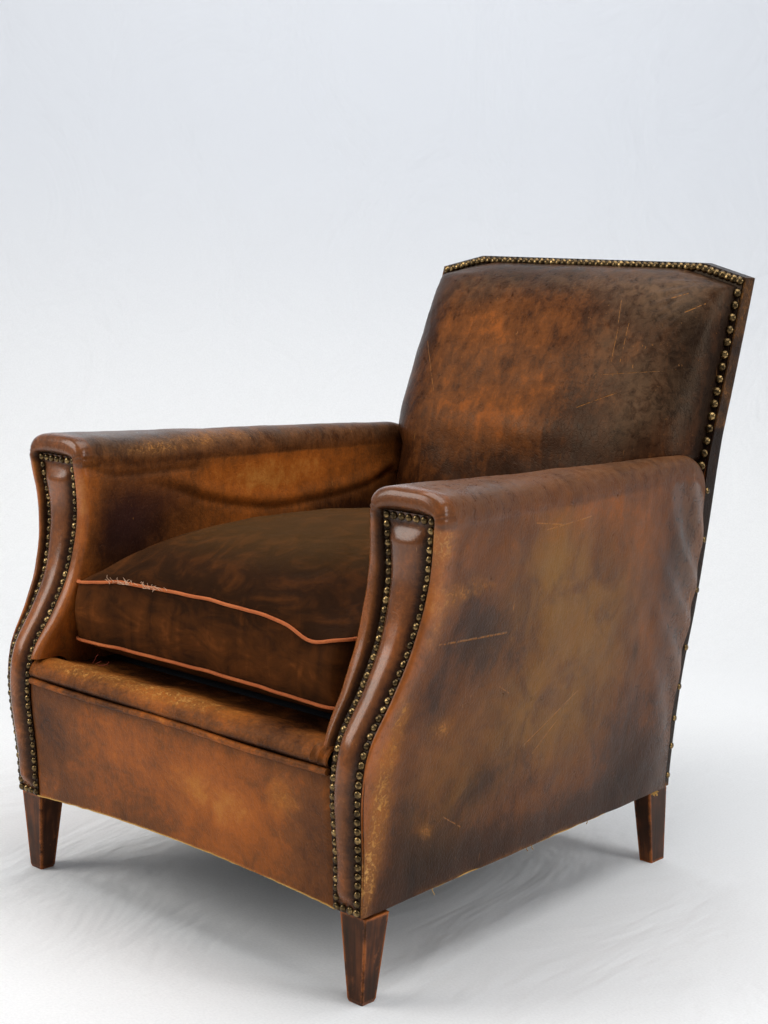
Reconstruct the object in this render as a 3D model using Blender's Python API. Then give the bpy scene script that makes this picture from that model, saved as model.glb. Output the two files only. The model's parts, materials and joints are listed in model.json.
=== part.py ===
"""Worn club chair: a small leather armchair with a loose seat cushion.

Metres, +Z up. The chair faces -Y. While it is being modelled, y = 0 is the front face of the
front legs, and an empty at the end moves the whole chair so that it stands centred on the origin.
"""

from math import cos, hypot, pi, sin, sqrt

import bmesh
import bpy
import numpy as np
from mathutils import Vector

# Clearances and sheet thicknesses
GAP = 0.0003
LEATHER = 0.0025
HESSIAN = 0.0012
LINING = 0.003

# Heights above the floor
LEG_HEIGHT = 0.104
SKIRT_BOTTOM = 0.107
RAIL_BOTTOM = 0.110
RAIL_TOP = 0.229
DECK_HEIGHT = 0.2835
LIP_HEIGHT = 0.2935
WELT_HEIGHT = 0.2635
ARM_HEIGHT = 0.572
BACK_HEIGHT = 0.8215
BACK_SHOULDER = BACK_HEIGHT - 0.0185
BACK_FOOT = DECK_HEIGHT + 0.0065

# The width between the arms. The half widths below follow it, from the chair's middle plane
SEAT_WIDTH = 0.486
ARM_INNER = SEAT_WIDTH / 2
ARM_REAR_OUTER = ARM_INNER + 0.0295
ARM_SLOPE = 0.012
ARM_FALL = 0.050
ARM_FALL_START = 0.630
ARM_FALL_LENGTH = 0.063
POST_INNER = ARM_INNER + 0.019
BACK_HALF = ARM_INNER + 0.027
BACK_TOP_HALF = BACK_HALF - 0.073
BACK_POST_WIDTH = 0.0286
SEAT_HALF = ARM_INNER + 0.0015

# Front legs: square, tapered down to the floor
FRONT_LEG_CENTRE = (ARM_INNER + 0.0435, 0.0200)
FRONT_LEG_TOP = 0.039
FRONT_LEG_FOOT = 0.0235
FRONT_POST_DEPTH = 0.038
WOOD_CHAMFER = 0.0025
LEG_CHAMFER = 0.0012
POST_TOP_CUT = 0.0165

# Rear legs: inner and front faces taper down to the floor
REAR_LEG_OUTER = ARM_INNER + 0.0245
REAR_FOOT_WIDTH = 0.0200

# Rails and boards
RAIL_THICKNESS = 0.028
FRONT_RAIL_ARCH = 0.011
ARM_RAIL_TOP = 0.500
ARM_RAIL_HEIGHT = 0.025
TACK_RAIL_BOTTOM = 0.250
TACK_RAIL_HEIGHT = 0.028
BACK_TACK_RAIL_BOTTOM = 0.300
BACK_TACK_RAIL_HEIGHT = 0.035
CREST_HEIGHT = 0.052
CORNER_BLOCK_LEG = 0.060
CORNER_BLOCK_BOTTOM = 0.150

# Facing strip and its nails
STRIP_THICKNESS = 0.0030
STRIP_CROWN = 0.0030
STRIP_TOP = 0.5445
FLANGE_LAP = 0.0055
ROLL_DEPTH = 0.012
ROLL_BULGE = 0.0075
NAIL_PITCH = 0.0106
NAIL_RADIUS = 0.0050
NAIL_RISE = 0.0034
STRIP_TOP_NAILS = 6
STRIP_BOTTOM_NAILS = 3

# Back pad and its nails
BACK_NAIL_PITCH = 0.0170
BACK_TOP_NAIL_PITCH = 0.0125
BACK_NAIL_LOWEST = 0.547
BACK_FLANGE = 0.011
CORNER_SET = 0.008
PAD_WIDENS = 0.562
PAD_WIDENS_OVER = 0.020

# Suspension
SPRING_TURNS = 3.75
SPRING_STEPS = 26
SPRING_WIRE = 0.0019
SPRING_END_RADIUS = 0.045
SPRING_WAIST_RADIUS = 0.026
SPRING_END_RISE = 0.0046
SPRING_X = (-0.140, 0.0, 0.140)
SPRING_Y = (0.145, 0.310, 0.475)
STRAP_WIDTH = 0.088
STRAP_THICKNESS = 0.0020
STRAP_X = (-0.180, -0.060, 0.060, 0.180)
STRAP_Y = (0.115, 0.245, 0.375, 0.505)

# Seat front
DECK_REAR_SPACE = 0.018
STUFFING_KNEE_DROP = 0.0135

# Loose cushion
CUSHION_CENTRE_X = -0.005
CUSHION_HALF_WIDTH = ARM_INNER - 0.0145
CUSHION_FRONT = 0.037
CUSHION_REAR = 0.572
CUSHION_SEAM_LOW = DECK_HEIGHT + 0.0315
CUSHION_SEAM_HIGH = DECK_HEIGHT + 0.1100
CUSHION_CROWN = DECK_HEIGHT + 0.1925
PIPING_RADIUS = 0.0034
WELT_RADIUS = 0.0042

# The plane of the nails round the inside back, and how far the back rises above the arms
BACK_NAIL_PLANE_Z = 0.555
BACK_NAIL_PLANE_Y = 0.711
BACK_NAIL_PLANE_SLOPE = 0.279
BACK_RISE = BACK_HEIGHT - BACK_NAIL_PLANE_Z


def beyond_arm(keys):
    """Half widths along a curve, from (height, distance out from the arm's inner face) keys."""
    return [(z, ARM_INNER + out) for z, out in keys]


def above_arms(share):
    """A height at a share of the way from the arms to the back's top."""
    return BACK_NAIL_PLANE_Z + BACK_RISE * share


# Curves of the chair, as (height, value) keys that a smooth line runs through
PANEL_FRONT = [
    (0.104, -0.005), (0.170, -0.010), (0.250, -0.019), (0.300, -0.011),
    (0.350, 0.020), (0.400, 0.044), (0.470, 0.057), (0.545, 0.050),
]
NAIL_LINE_OUTER = beyond_arm([
    (0.104, 0.0545), (0.250, 0.0625), (0.370, 0.0700), (0.450, 0.0800), (0.545, 0.0925),
])
NAIL_LINE_INNER = beyond_arm([(0.104, 0.0250), (0.250, 0.0270), (0.470, 0.0285), (0.545, 0.0275)])
ROLL_EDGE_OUTER = beyond_arm([
    (0.104, 0.0620), (0.250, 0.0700), (0.370, 0.0860), (0.450, 0.1000), (0.545, 0.1170),
])
ROLL_EDGE_INNER = beyond_arm([(0.290, 0.0070), (0.370, -0.0010), (0.480, -0.0010), (0.545, 0.0050)])
REAR_LINE_LOW = [(0.000, 0.6680), (0.107, 0.6640), (0.250, 0.6810), (0.360, 0.7080), (0.470, 0.7290)]
BACK_THICKNESS = [(0.09381, 0.030025), (0.35647, 0.030495), (0.71295, 0.029990), (1.01313, 0.028670)]
POST_FRONT = [(0.000, 0.6330), (0.104, 0.6180), (0.300, 0.6480), (0.500, 0.6990)]
SIDE_SEAM = [(0.107, 0.6470), (0.250, 0.6640), (0.360, 0.6910), (0.440, 0.7045), (0.500, 0.7050)]
PAD_DEPTH = [
    (BACK_FOOT, 0.040), (0.360, 0.062), (0.450, 0.082),
    (above_arms(0.09381), 0.098), (above_arms(0.35647), 0.090), (above_arms(0.54409), 0.081),
    (above_arms(0.73171), 0.068), (BACK_HEIGHT - 0.0415, 0.052), (BACK_HEIGHT - 0.0265, 0.034),
    (BACK_HEIGHT - 0.0150, 0.0),
]

# Heights where the curves above turn into the straight runs that the parts share
PANEL_LEVELS = (0.107, 0.170, 0.230, 0.265, 0.300, 0.335, 0.370, 0.410, 0.455, 0.500, 0.535, 0.5445)
REAR_LEVELS = (0.0, 0.104, 0.180, 0.250, 0.360, 0.440, 0.500, BACK_NAIL_PLANE_Z)
REAR_LEVELS += (above_arms(0.35647), above_arms(0.71295), BACK_HEIGHT)
POST_LEVELS = (0.0, 0.104, 0.250, 0.360, 0.440, 0.500)


def smooth(keys, t):
    """The value at t of a smooth curve through (t, value) keys, level with its ends outside them."""
    if t <= keys[0][0]:
        return keys[0][1]
    if t >= keys[-1][0]:
        return keys[-1][1]
    i = max(k for k in range(len(keys) - 1) if keys[k][0] <= t)

    def slope(k):
        a, b = keys[max(k - 1, 0)], keys[min(k + 1, len(keys) - 1)]
        return (b[1] - a[1]) / (b[0] - a[0])

    (t0, v0), (t1, v1) = keys[i], keys[i + 1]
    span = t1 - t0
    s = (t - t0) / span
    return (
        v0 * (2 * s**3 - 3 * s**2 + 1)
        + slope(i) * span * (s**3 - 2 * s**2 + s)
        + v1 * (3 * s**2 - 2 * s**3)
        + slope(i + 1) * span * (s**3 - s**2)
    )


def mix(a, b, s):
    return a + (b - a) * s


def ease(s):
    s = min(max(s, 0.0), 1.0)
    return s * s * (3 - 2 * s)


def stepped(keys, levels, z):
    """The smooth curve as straight runs between levels, so that parts that share the levels fit."""
    return float(np.interp(z, levels, [smooth(keys, level) for level in levels]))


def panel_y(z):
    """The arm's front panel: the facing strip's front surface at its nails."""
    return stepped(PANEL_FRONT, PANEL_LEVELS, z)


def outer_nail_x(z):
    return stepped(NAIL_LINE_OUTER, PANEL_LEVELS, z)


def inner_nail_x(z):
    return stepped(NAIL_LINE_INNER, PANEL_LEVELS, z)


def nail_plane_y(z):
    """The plane of the nails round the inside back."""
    return BACK_NAIL_PLANE_Y + BACK_NAIL_PLANE_SLOPE * (z - BACK_NAIL_PLANE_Z)


def rear_y(z):
    """The chair's rear face, which keeps its thickness behind the nails above the arms."""
    keys = list(REAR_LINE_LOW)
    for share, thickness in BACK_THICKNESS:
        height = above_arms(share)
        keys.append((height, nail_plane_y(height) + thickness))
    return stepped(keys, REAR_LEVELS, z)


BACK_POST_SET = LEATHER + HESSIAN + 3 * GAP


def post_front_y(z):
    """The front face of a back post."""
    join = POST_FRONT[-1][0]
    if z >= join:
        return nail_plane_y(z) + BACK_POST_SET
    return stepped(POST_FRONT[:-1] + [(join, nail_plane_y(join) + BACK_POST_SET)], POST_LEVELS, z)


def post_rear_y(z):
    return rear_y(z) - LEATHER - 1.5 * GAP


def side_seam_y(z):
    """Where the side leather meets the leather that wraps round from the outside back."""
    if z > BACK_NAIL_PLANE_Z:
        return nail_plane_y(z)
    return stepped(SIDE_SEAM + [(BACK_NAIL_PLANE_Z, nail_plane_y(BACK_NAIL_PLANE_Z))], REAR_LEVELS, z)


def side_x(y, z):
    """The outer surface of the side: out at the arm's front, in at the back post."""
    front = panel_y(z)
    s = min(max((y - front) / (side_seam_y(z) - front), 0.0), 1.0)
    belly = 0.006 * sin(pi * s) * sin(pi * min(max((z - SKIRT_BOTTOM) / 0.44, 0.0), 1.0))
    return mix(smooth(ROLL_EDGE_OUTER, z), ARM_REAR_OUTER, s) + belly


def crown_z(y):
    """The top of the arm along its length, with a rounded fall in front of the back post."""
    t = min(max((y - ARM_FALL_START) / ARM_FALL_LENGTH, 0.0), 1.0)
    return ARM_HEIGHT - ARM_SLOPE * y - ARM_FALL * (1 - sqrt(1 - t * t))


# Building helpers

ROOT = None


def clear_scene():
    for old in list(bpy.data.objects):
        bpy.data.objects.remove(old)


def material(name, colour, roughness, metallic=0.0):
    made = bpy.data.materials.new(name)
    made.use_nodes = True
    shader = made.node_tree.nodes["Principled BSDF"]
    shader.inputs["Base Color"].default_value = (*colour, 1.0)
    shader.inputs["Roughness"].default_value = roughness
    shader.inputs["Metallic"].default_value = metallic
    return made


def add(name, data, finish):
    """Put a mesh or curve in the scene under the chair's root."""
    if not data.materials:
        data.materials.append(finish)
    made = bpy.data.objects.new(name, data)
    bpy.context.collection.objects.link(made)
    made.parent = ROOT
    return made


def finish_mesh(name, bm, finish):
    bmesh.ops.recalc_face_normals(bm, faces=bm.faces)
    mesh = bpy.data.meshes.new(name)
    bm.to_mesh(mesh)
    bm.free()
    mesh.shade_smooth()
    mesh.set_sharp_from_angle(angle=0.7)
    return add(name, mesh, finish)


def loft(name, rings, finish):
    """A closed solid through rings of points, capped at both ends."""
    bm = bmesh.new()
    rows = [[bm.verts.new(p) for p in ring] for ring in rings]
    count = len(rows[0])
    for low, high in zip(rows, rows[1:]):
        for i in range(count):
            j = (i + 1) % count
            bm.faces.new((low[i], low[j], high[j], high[i]))
    bm.faces.new(rows[0][::-1])
    bm.faces.new(rows[-1])
    return finish_mesh(name, bm, finish)


def grid_normals(grid):
    """Unit normals of a grid of points, on the side where row x column points."""
    points = np.array(grid, float)
    normals = np.zeros_like(points)
    along = points[1:] - points[:-1]
    across = points[:, 1:] - points[:, :-1]
    for di in (0, 1):
        for dj in (0, 1):
            cell = np.cross(along[:, dj:points.shape[1] - 1 + dj], across[di:points.shape[0] - 1 + di, :])
            normals[di:points.shape[0] - 1 + di, dj:points.shape[1] - 1 + dj] += cell
    return normals / np.linalg.norm(normals, axis=2, keepdims=True)


def inset_grid(grid, depth, side):
    """The grid moved in by depth along its normals; side is 1 or -1 for which way is out."""
    return np.array(grid, float) - grid_normals(grid) * depth * side


def between(name, outer, inner, finish, mirror=False):
    """A closed solid between two grids of the same size, stitched round their edges."""
    flip = np.array([-1.0, 1.0, 1.0]) if mirror else np.ones(3)
    bm = bmesh.new()
    skins = []
    for grid in (outer, inner):
        skins.append([[bm.verts.new(Vector(np.array(p) * flip)) for p in row] for row in grid])
    rows, columns = len(outer), len(outer[0])
    for skin in skins:
        for i in range(rows - 1):
            for j in range(columns - 1):
                a, b, c, d = skin[i][j], skin[i + 1][j], skin[i + 1][j + 1], skin[i][j + 1]
                bm.faces.new((a, b, c))
                bm.faces.new((a, c, d))
    edge = [(i, 0) for i in range(rows)] + [(rows - 1, j) for j in range(1, columns)]
    edge += [(i, columns - 1) for i in range(rows - 2, -1, -1)] + [(0, j) for j in range(columns - 2, 0, -1)]
    for (i, j), (m, n) in zip(edge, edge[1:] + edge[:1]):
        bm.faces.new((skins[0][i][j], skins[0][m][n], skins[1][m][n], skins[1][i][j]))
    return finish_mesh(name, bm, finish)


def tube(name, points, radius, finish, cyclic=False, sides=0):
    """A round wire, bead or cord along points."""
    curve = bpy.data.curves.new(name, "CURVE")
    curve.dimensions = "3D"
    spline = curve.splines.new("POLY")
    spline.points.add(len(points) - 1)
    for point, place in zip(spline.points, points):
        point.co = (*place, 1.0)
    spline.use_cyclic_u = cyclic
    curve.bevel_depth = radius
    curve.bevel_resolution = sides
    curve.use_fill_caps = True
    return add(name, curve, finish)


def chamfered(x0, x1, y0, y1, z, cut=WOOD_CHAMFER):
    """A rectangle's ring of points with its corners cut."""
    return [
        (x0 + cut, y0, z), (x1 - cut, y0, z), (x1, y0 + cut, z), (x1, y1 - cut, z),
        (x1 - cut, y1, z), (x0 + cut, y1, z), (x0, y1 - cut, z), (x0, y0 + cut, z),
    ]


def sided(ring, side):
    return [(side * x, y, z) for x, y, z in ring]


def side_name(side):
    return "right" if side > 0 else "left"


# The wooden frame

FLANGE_SET = STRIP_THICKNESS + GAP
POST_SET = FLANGE_SET + LEATHER * 1.4 + GAP


def front_post_rear(z):
    """The rear face of a front post: upright beside the seat, S-curved above it."""
    return max(panel_y(z) + POST_SET + FRONT_POST_DEPTH, FRONT_LEG_CENTRE[1] + FRONT_LEG_TOP / 2)


def front_post(side, finish):
    """One piece from the floor to the arm: a tapered leg under an S-curved stump."""
    cx, cy = FRONT_LEG_CENTRE
    rings = []
    for z, size in ((0.0, FRONT_LEG_FOOT - 0.003), (0.004, FRONT_LEG_FOOT), (LEG_HEIGHT, FRONT_LEG_TOP)):
        half = size / 2
        rings.append(chamfered(cx - half, cx + half, cy - half, cy + half, z, LEG_CHAMFER))
    for z in (LEG_HEIGHT + 0.0005,) + PANEL_LEVELS[1:]:
        front = panel_y(z) + POST_SET
        rear = front_post_rear(z)
        outer = min(outer_nail_x(z) + 0.002, side_x(rear, z) - LEATHER - 0.0012)
        cut = POST_TOP_CUT if z == STRIP_TOP else 0.0
        rings.append(chamfered(POST_INNER + cut, outer - cut, front, rear, z))
    return loft("front_post_" + side_name(side), [sided(ring, side) for ring in rings], finish)


def back_post(side, finish):
    """One piece from the floor to the crest rail: a tapered leg under a raked post."""
    outer = REAR_LEG_OUTER - GAP
    inner = outer - BACK_POST_WIDTH
    rings = []
    for z in REAR_LEVELS[:-1] + (BACK_HEIGHT - CREST_HEIGHT - LEATHER - GAP,):
        x0 = outer - REAR_FOOT_WIDTH if z == 0.0 else inner
        cut = LEG_CHAMFER if z <= LEG_HEIGHT else WOOD_CHAMFER
        rings.append(chamfered(x0, outer, post_front_y(z), post_rear_y(z), z, cut))
        if z == REAR_LEVELS[1]:
            z += 0.001
            rings.append(chamfered(x0, outer, post_front_y(z), post_rear_y(z), z))
    return loft("back_post_" + side_name(side), [sided(ring, side) for ring in rings], finish)


def front_rail(finish):
    """The rail behind the apron, with the shallow arch of its lower edge."""
    half = POST_INNER - GAP
    rings = []
    for s in (-1.0, -0.66, -0.33, 0.0, 0.33, 0.66, 1.0):
        low = RAIL_BOTTOM + FRONT_RAIL_ARCH * (1 - s * s)
        rings.append([
            (half * s, panel_y(low) + POST_SET + GAP, low),
            (half * s, panel_y(PANEL_LEVELS[1]) + POST_SET + GAP, PANEL_LEVELS[1]),
            (half * s, panel_y(RAIL_TOP) + POST_SET + GAP, RAIL_TOP),
            (half * s, RAIL_THICKNESS, RAIL_TOP),
            (half * s, RAIL_THICKNESS, low),
        ])
    return loft("front_rail", rings, finish)


def post_inner_x():
    return REAR_LEG_OUTER - GAP - BACK_POST_WIDTH


def rear_rail(finish):
    half = post_inner_x() - GAP
    rings = []
    for z in (RAIL_BOTTOM, REAR_LEVELS[2], RAIL_TOP):
        front, rear = post_front_y(z) + 0.003, post_rear_y(z) - 0.001
        rings.append([(-half, front, z), (half, front, z), (half, rear, z), (-half, rear, z)])
    return loft("rear_rail", rings, finish)


def board(name, front_y, rear_y, x_front, x_rear, z_low, z_high, side, finish):
    """A board that runs from a front post to a back post. Its ends follow the posts' faces."""
    rings = []
    for end_y, (x0, x1) in ((front_y, x_front), (rear_y, x_rear)):
        low = [(x, end_y(z_low), z_low) for x in (x0, x1)]
        high = [(x, end_y(z_high), z_high) for x in (x1, x0)]
        rings.append(sided(low + high, side))
    return loft(f"{name}_{side_name(side)}", rings, finish)


def front_post_face(z):
    return front_post_rear(z) + GAP


def back_post_face(z):
    return post_front_y(z) - GAP


def frame_x(y, z):
    """The outermost x of a rail that lies under the side's leather and lining."""
    return side_x(y, z) - LEATHER - LINING - 3 * GAP


def side_rails(side, finish):
    """Seat rail, tack rail and arm rail of one side."""
    front, rear = front_post_face(RAIL_BOTTOM), back_post_face(RAIL_BOTTOM)
    made = [board("side_rail", front_post_face, back_post_face, (POST_INNER, frame_x(front, RAIL_BOTTOM)),
                  (post_inner_x(), frame_x(rear, RAIL_BOTTOM)), RAIL_BOTTOM, RAIL_TOP, side, finish)]
    high = TACK_RAIL_BOTTOM + TACK_RAIL_HEIGHT
    made.append(board("arm_tack_rail", front_post_face, back_post_face, (POST_INNER, POST_INNER + 0.022),
                      (ARM_INNER + 0.0086, ARM_INNER + 0.0225), TACK_RAIL_BOTTOM, high, side, finish))
    low = ARM_RAIL_TOP - ARM_RAIL_HEIGHT
    made.append(board("arm_rail", front_post_face, back_post_face, (POST_INNER, POST_INNER + 0.050),
                      (ARM_INNER + 0.0100, ARM_INNER + 0.0200), low, ARM_RAIL_TOP, side, finish))
    return made


def back_rails(finish):
    """The crest rail with clipped corners, and the tack rail at the foot of the inside back."""
    low = BACK_HEIGHT - CREST_HEIGHT - LEATHER
    high = BACK_HEIGHT - LEATHER - GAP
    half, top_half = REAR_LEG_OUTER - GAP - 0.003, BACK_TOP_HALF - CORNER_SET
    shoulder = BACK_SHOULDER - LEATHER - GAP
    outline = [(-half, low), (half, low), (half, shoulder), (top_half, high)]
    outline += [(-top_half, high), (-half, shoulder)]
    front = [(x, post_front_y(z), z) for x, z in outline]
    rear = [(x, post_rear_y(z), z) for x, z in outline]
    loft("crest_rail", [front, rear], finish)
    half = post_inner_x() - GAP
    rings = []
    for z in (BACK_TACK_RAIL_BOTTOM, BACK_TACK_RAIL_BOTTOM + BACK_TACK_RAIL_HEIGHT):
        y = post_front_y(z)
        rings.append([(-half, y, z), (half, y, z), (half, y + 0.020, z), (-half, y + 0.020, z)])
    loft("back_tack_rail", rings, finish)


def corner_blocks(finish):
    """Glue blocks in the four inner corners of the seat frame."""
    for side in (1, -1):
        front, rear = [], []
        for z in (CORNER_BLOCK_BOTTOM, RAIL_TOP - 0.001):
            x, y = POST_INNER - 2 * GAP, RAIL_THICKNESS + GAP
            inner = side_rail_inner(y + CORNER_BLOCK_LEG) - 0.0015
            corner = [(x, y, z), (inner, y + CORNER_BLOCK_LEG, z), (x - CORNER_BLOCK_LEG, y, z)]
            front.append(sided(corner, side))
            x, y = post_inner_x() - GAP, post_front_y(z) + 0.003 - GAP
            corner = [(x, y, z), (x - CORNER_BLOCK_LEG, y, z), (x, y - CORNER_BLOCK_LEG, z)]
            rear.append(sided(corner, side))
        loft("corner_block_front_" + side_name(side), front, finish)
        loft("corner_block_rear_" + side_name(side), rear, finish)


def side_rail_inner(y):
    front, rear = front_post_face(RAIL_BOTTOM), back_post_face(RAIL_BOTTOM)
    return mix(POST_INNER, post_inner_x(), (y - front) / (rear - front))


# Webbing, springs and hessian

WEB_LEVEL = RAIL_BOTTOM - STRAP_THICKNESS - 2 * GAP
WEB_WEAVE = STRAP_THICKNESS / 2 + GAP / 2


def strap(name, centre, start, end, crossings, first, along_x, finish):
    """A webbing strap that passes over and under the straps it crosses."""
    stations = [(start, 0.0)]
    up = first
    reach = STRAP_WIDTH / 2 + 0.003
    for crossing in crossings:
        stations += [(crossing - reach, up * WEB_WEAVE), (crossing + reach, up * WEB_WEAVE)]
        up = -up
    stations.append((end, 0.0))
    rings = []
    for s, lift in stations:
        z = WEB_LEVEL + lift
        low, high = z - STRAP_THICKNESS / 2, z + STRAP_THICKNESS / 2
        a, b = centre - STRAP_WIDTH / 2, centre + STRAP_WIDTH / 2
        ring = [(s, a, low), (s, b, low), (s, b, high), (s, a, high)]
        rings.append(ring if along_x else [(y, x, h) for x, y, h in ring])
    return loft(name, rings, finish)


def webbing(finish):
    for i, y in enumerate(STRAP_Y):
        reach = side_rail_inner(y) + 0.012
        strap(f"seat_web_cross_{i + 1}", y, -reach, reach, STRAP_X, 1 if i % 2 else -1, True, finish)
    for i, x in enumerate(STRAP_X):
        rear = post_front_y(RAIL_BOTTOM) + 0.018
        strap(f"seat_web_long_{i + 1}", x, 0.010, rear, STRAP_Y, -1 if i % 2 else 1, False, finish)


def spring_points(bottom, top):
    """The line of a double-cone spring's wire."""
    turns = (0.0, 1.0, SPRING_TURNS - 1.0, SPRING_TURNS)
    heights = (bottom, bottom + SPRING_END_RISE, top - SPRING_END_RISE, top)
    points = []
    for k in range(SPRING_STEPS + 1):
        turn = SPRING_TURNS * k / SPRING_STEPS
        across = abs(2 * turn / SPRING_TURNS - 1)
        radius = mix(SPRING_WAIST_RADIUS, SPRING_END_RADIUS, across**1.3)
        angle = 2 * pi * turn
        points.append((radius * cos(angle), radius * sin(angle), np.interp(turn, turns, heights)))
    return points


def springs(finish):
    """Nine springs in three rows, all on one mesh."""
    bottom = WEB_LEVEL + WEB_WEAVE + STRAP_THICKNESS / 2 + GAP + SPRING_WIRE
    top = RAIL_TOP - SPRING_WIRE
    data = None
    for row, y in enumerate(SPRING_Y):
        for column, x in enumerate(SPRING_X):
            name = f"seat_spring_{row * len(SPRING_X) + column + 1}"
            if data is None:
                made = tube(name, spring_points(bottom, top), SPRING_WIRE, finish)
                data = made.data
            else:
                made = add(name, data, finish)
            made.location = (x, y, 0.0)


def box(name, low, high, finish):
    (x0, y0, z0), (x1, y1, z1) = low, high
    rings = [[(x0, y0, z), (x1, y0, z), (x1, y1, z), (x0, y1, z)] for z in (z0, z1)]
    return loft(name, rings, finish)


HESSIAN_TOP = RAIL_TOP + GAP + HESSIAN


def seat_sheets(hessian, cloth):
    """The hessian over the springs and the dust cloth under the seat."""
    half = POST_INNER - 2 * GAP
    rear = post_front_y(RAIL_TOP) - 0.010
    box("spring_hessian", (-half, 0.005, RAIL_TOP + GAP), (half, rear, HESSIAN_TOP), hessian)
    top = WEB_LEVEL - WEB_WEAVE - STRAP_THICKNESS / 2 - GAP
    rear = post_front_y(LEG_HEIGHT) - 0.004
    box("bottom_cloth", (-half + 0.004, 0.006, top - 0.0008), (half - 0.004, rear, top), cloth)


# Arms

INNER_STATIONS = PANEL_LEVELS[4:-1]
OUTER_STATIONS = PANEL_LEVELS[-2::-1]
CROWN_STATIONS = (0.08, 0.30, 0.50, 0.70, 0.92)
ARM_SHOULDER = INNER_STATIONS[-1]
ARM_FRONT_POINTS = 4
ARM_WALK = (0.0, 0.10, 0.26, 0.45, 0.66, 0.84, 0.93, 1.0)


def arm_stations():
    """The arm's outline from its inner foot over the crown to its outer foot, as (kind, value)."""
    made = [("inner", z) for z in INNER_STATIONS]
    made += [("crown", share) for share in CROWN_STATIONS]
    return made + [("outer", z) for z in OUTER_STATIONS]


def arm_point(kind, value, y):
    """A point of the arm's surface behind its front roll."""
    top = crown_z(y)
    drop = ARM_HEIGHT - ARM_SLOPE * y - top
    shoulder = ARM_SHOULDER - drop
    if kind == "crown":
        angle = pi * (1 - value)
        low = arm_point("inner", ARM_SHOULDER, y)[0]
        high = arm_point("outer", ARM_SHOULDER, y)[0]
        across = mix(low, high, 0.5 + 0.5 * np.sign(cos(angle)) * abs(cos(angle)) ** 0.75)
        return (across, y, shoulder + (top - shoulder) * sin(angle) ** 0.8)
    lower = value - drop * ease((value - 0.420) / (ARM_SHOULDER - 0.420))
    if kind == "inner":
        s = min(max((y - 0.05) / 0.30, 0.0), 1.0)
        return (mix(smooth(ROLL_EDGE_INNER, value), ARM_INNER, s), y, lower)
    return (side_x(y, value), y, lower)


def arm_end_y(kind, value):
    """Where the arm's leather ends, short of the back post and of the outside back's leather."""
    rail_low = ARM_RAIL_TOP - ARM_RAIL_HEIGHT
    if kind == "outer":
        return side_seam_y(value) - 0.0015
    if kind == "inner":
        return post_front_y(min(value, rail_low)) - 0.002
    return mix(post_front_y(rail_low) - 0.002, side_seam_y(ARM_RAIL_TOP) - 0.0015, value)


def arm_front(kind, value):
    """One station at the arm's front: nail point, way out from the strip, roll edge, panel y."""
    left, right = inner_nail_x(STRIP_TOP), outer_nail_x(STRIP_TOP)
    if kind == "crown":
        x, _, z = arm_point(kind, value, panel_y(STRIP_TOP) + ROLL_DEPTH)
        edge = (x, z - 0.004)
        top = STRIP_TOP - NAIL_RADIUS
        if value == CROWN_STATIONS[0]:
            return (left, top), (-1.0, 1.0), edge, panel_y(STRIP_TOP)
        if value == CROWN_STATIONS[-1]:
            return (right, top), (1.0, 1.0), edge, panel_y(STRIP_TOP)
        return (mix(left, right, value), top), (0.0, 1.0), edge, panel_y(STRIP_TOP)
    y = panel_y(value)
    edge = (arm_point(kind, value, y + ROLL_DEPTH)[0], value)
    if kind == "inner":
        return (inner_nail_x(value), value), (-1.0, 0.0), edge, y
    return (outer_nail_x(value), value), (1.0, 0.0), edge, y


def arm_row(kind, value):
    """One station's points, from under the facing strip, round the front roll, to the back post."""
    (nx, nz), (ux, uz), (ex, ez), y = arm_front(kind, value)
    lap = FLANGE_LAP
    sx, sz = nx + ux * lap, nz + uz * lap
    row = [(px, panel_y(pz) + FLANGE_SET, pz) for px, pz in ((nx - ux * lap, nz - uz * lap), (sx, sz))]
    fullness = ease(hypot(ex - sx, ez - sz) / ROLL_DEPTH)
    for share, proud in ((0.30, ROLL_BULGE), (0.78, ROLL_BULGE * 0.3)):
        row.append((mix(sx, ex, share), y + mix(FLANGE_SET, -proud, fullness), mix(sz, ez, share)))
    start, end = y + ROLL_DEPTH, arm_end_y(kind, value)
    for s in ARM_WALK:
        row.append(arm_point(kind, value, mix(start, end, s)))
    return row


def arm_cover_grid():
    return [arm_row(kind, value) for kind, value in arm_stations()]


def arm_core_row(kind, value, row, walk):
    """The inner side of the arm's padding, which lies on the post and the rails."""
    rail_inner, rail_outer = ARM_INNER + 0.0082, ARM_INNER + 0.0222
    level = value if kind != "crown" else STRIP_TOP
    seat = panel_y(level) + POST_SET + 2 * GAP
    made = []
    for (x, y, z), s in zip(row, walk):
        behind = max((s - ARM_WALK[1]) / (1 - ARM_WALK[1]), 0.0)
        spread = 0.0095 if s == 0.0 else 0.0028
        outer = mix(outer_nail_x(level) + spread, rail_outer, behind)
        inner = mix(POST_INNER - 3 * GAP, rail_inner, behind)
        y = max(y, seat)
        if kind == "inner":
            made.append((inner, y, z))
        elif kind == "crown":
            over_post = STRIP_TOP + (0.0075 if s == 0.0 else 2 * GAP)
            height = ARM_RAIL_TOP + 0.0042 if behind else over_post
            made.append((mix(inner, outer, mix(0.05, 0.95, value)), y, height))
        else:
            made.append((min(outer + 0.0002, x - 0.0016), y, z))
    return made


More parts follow.
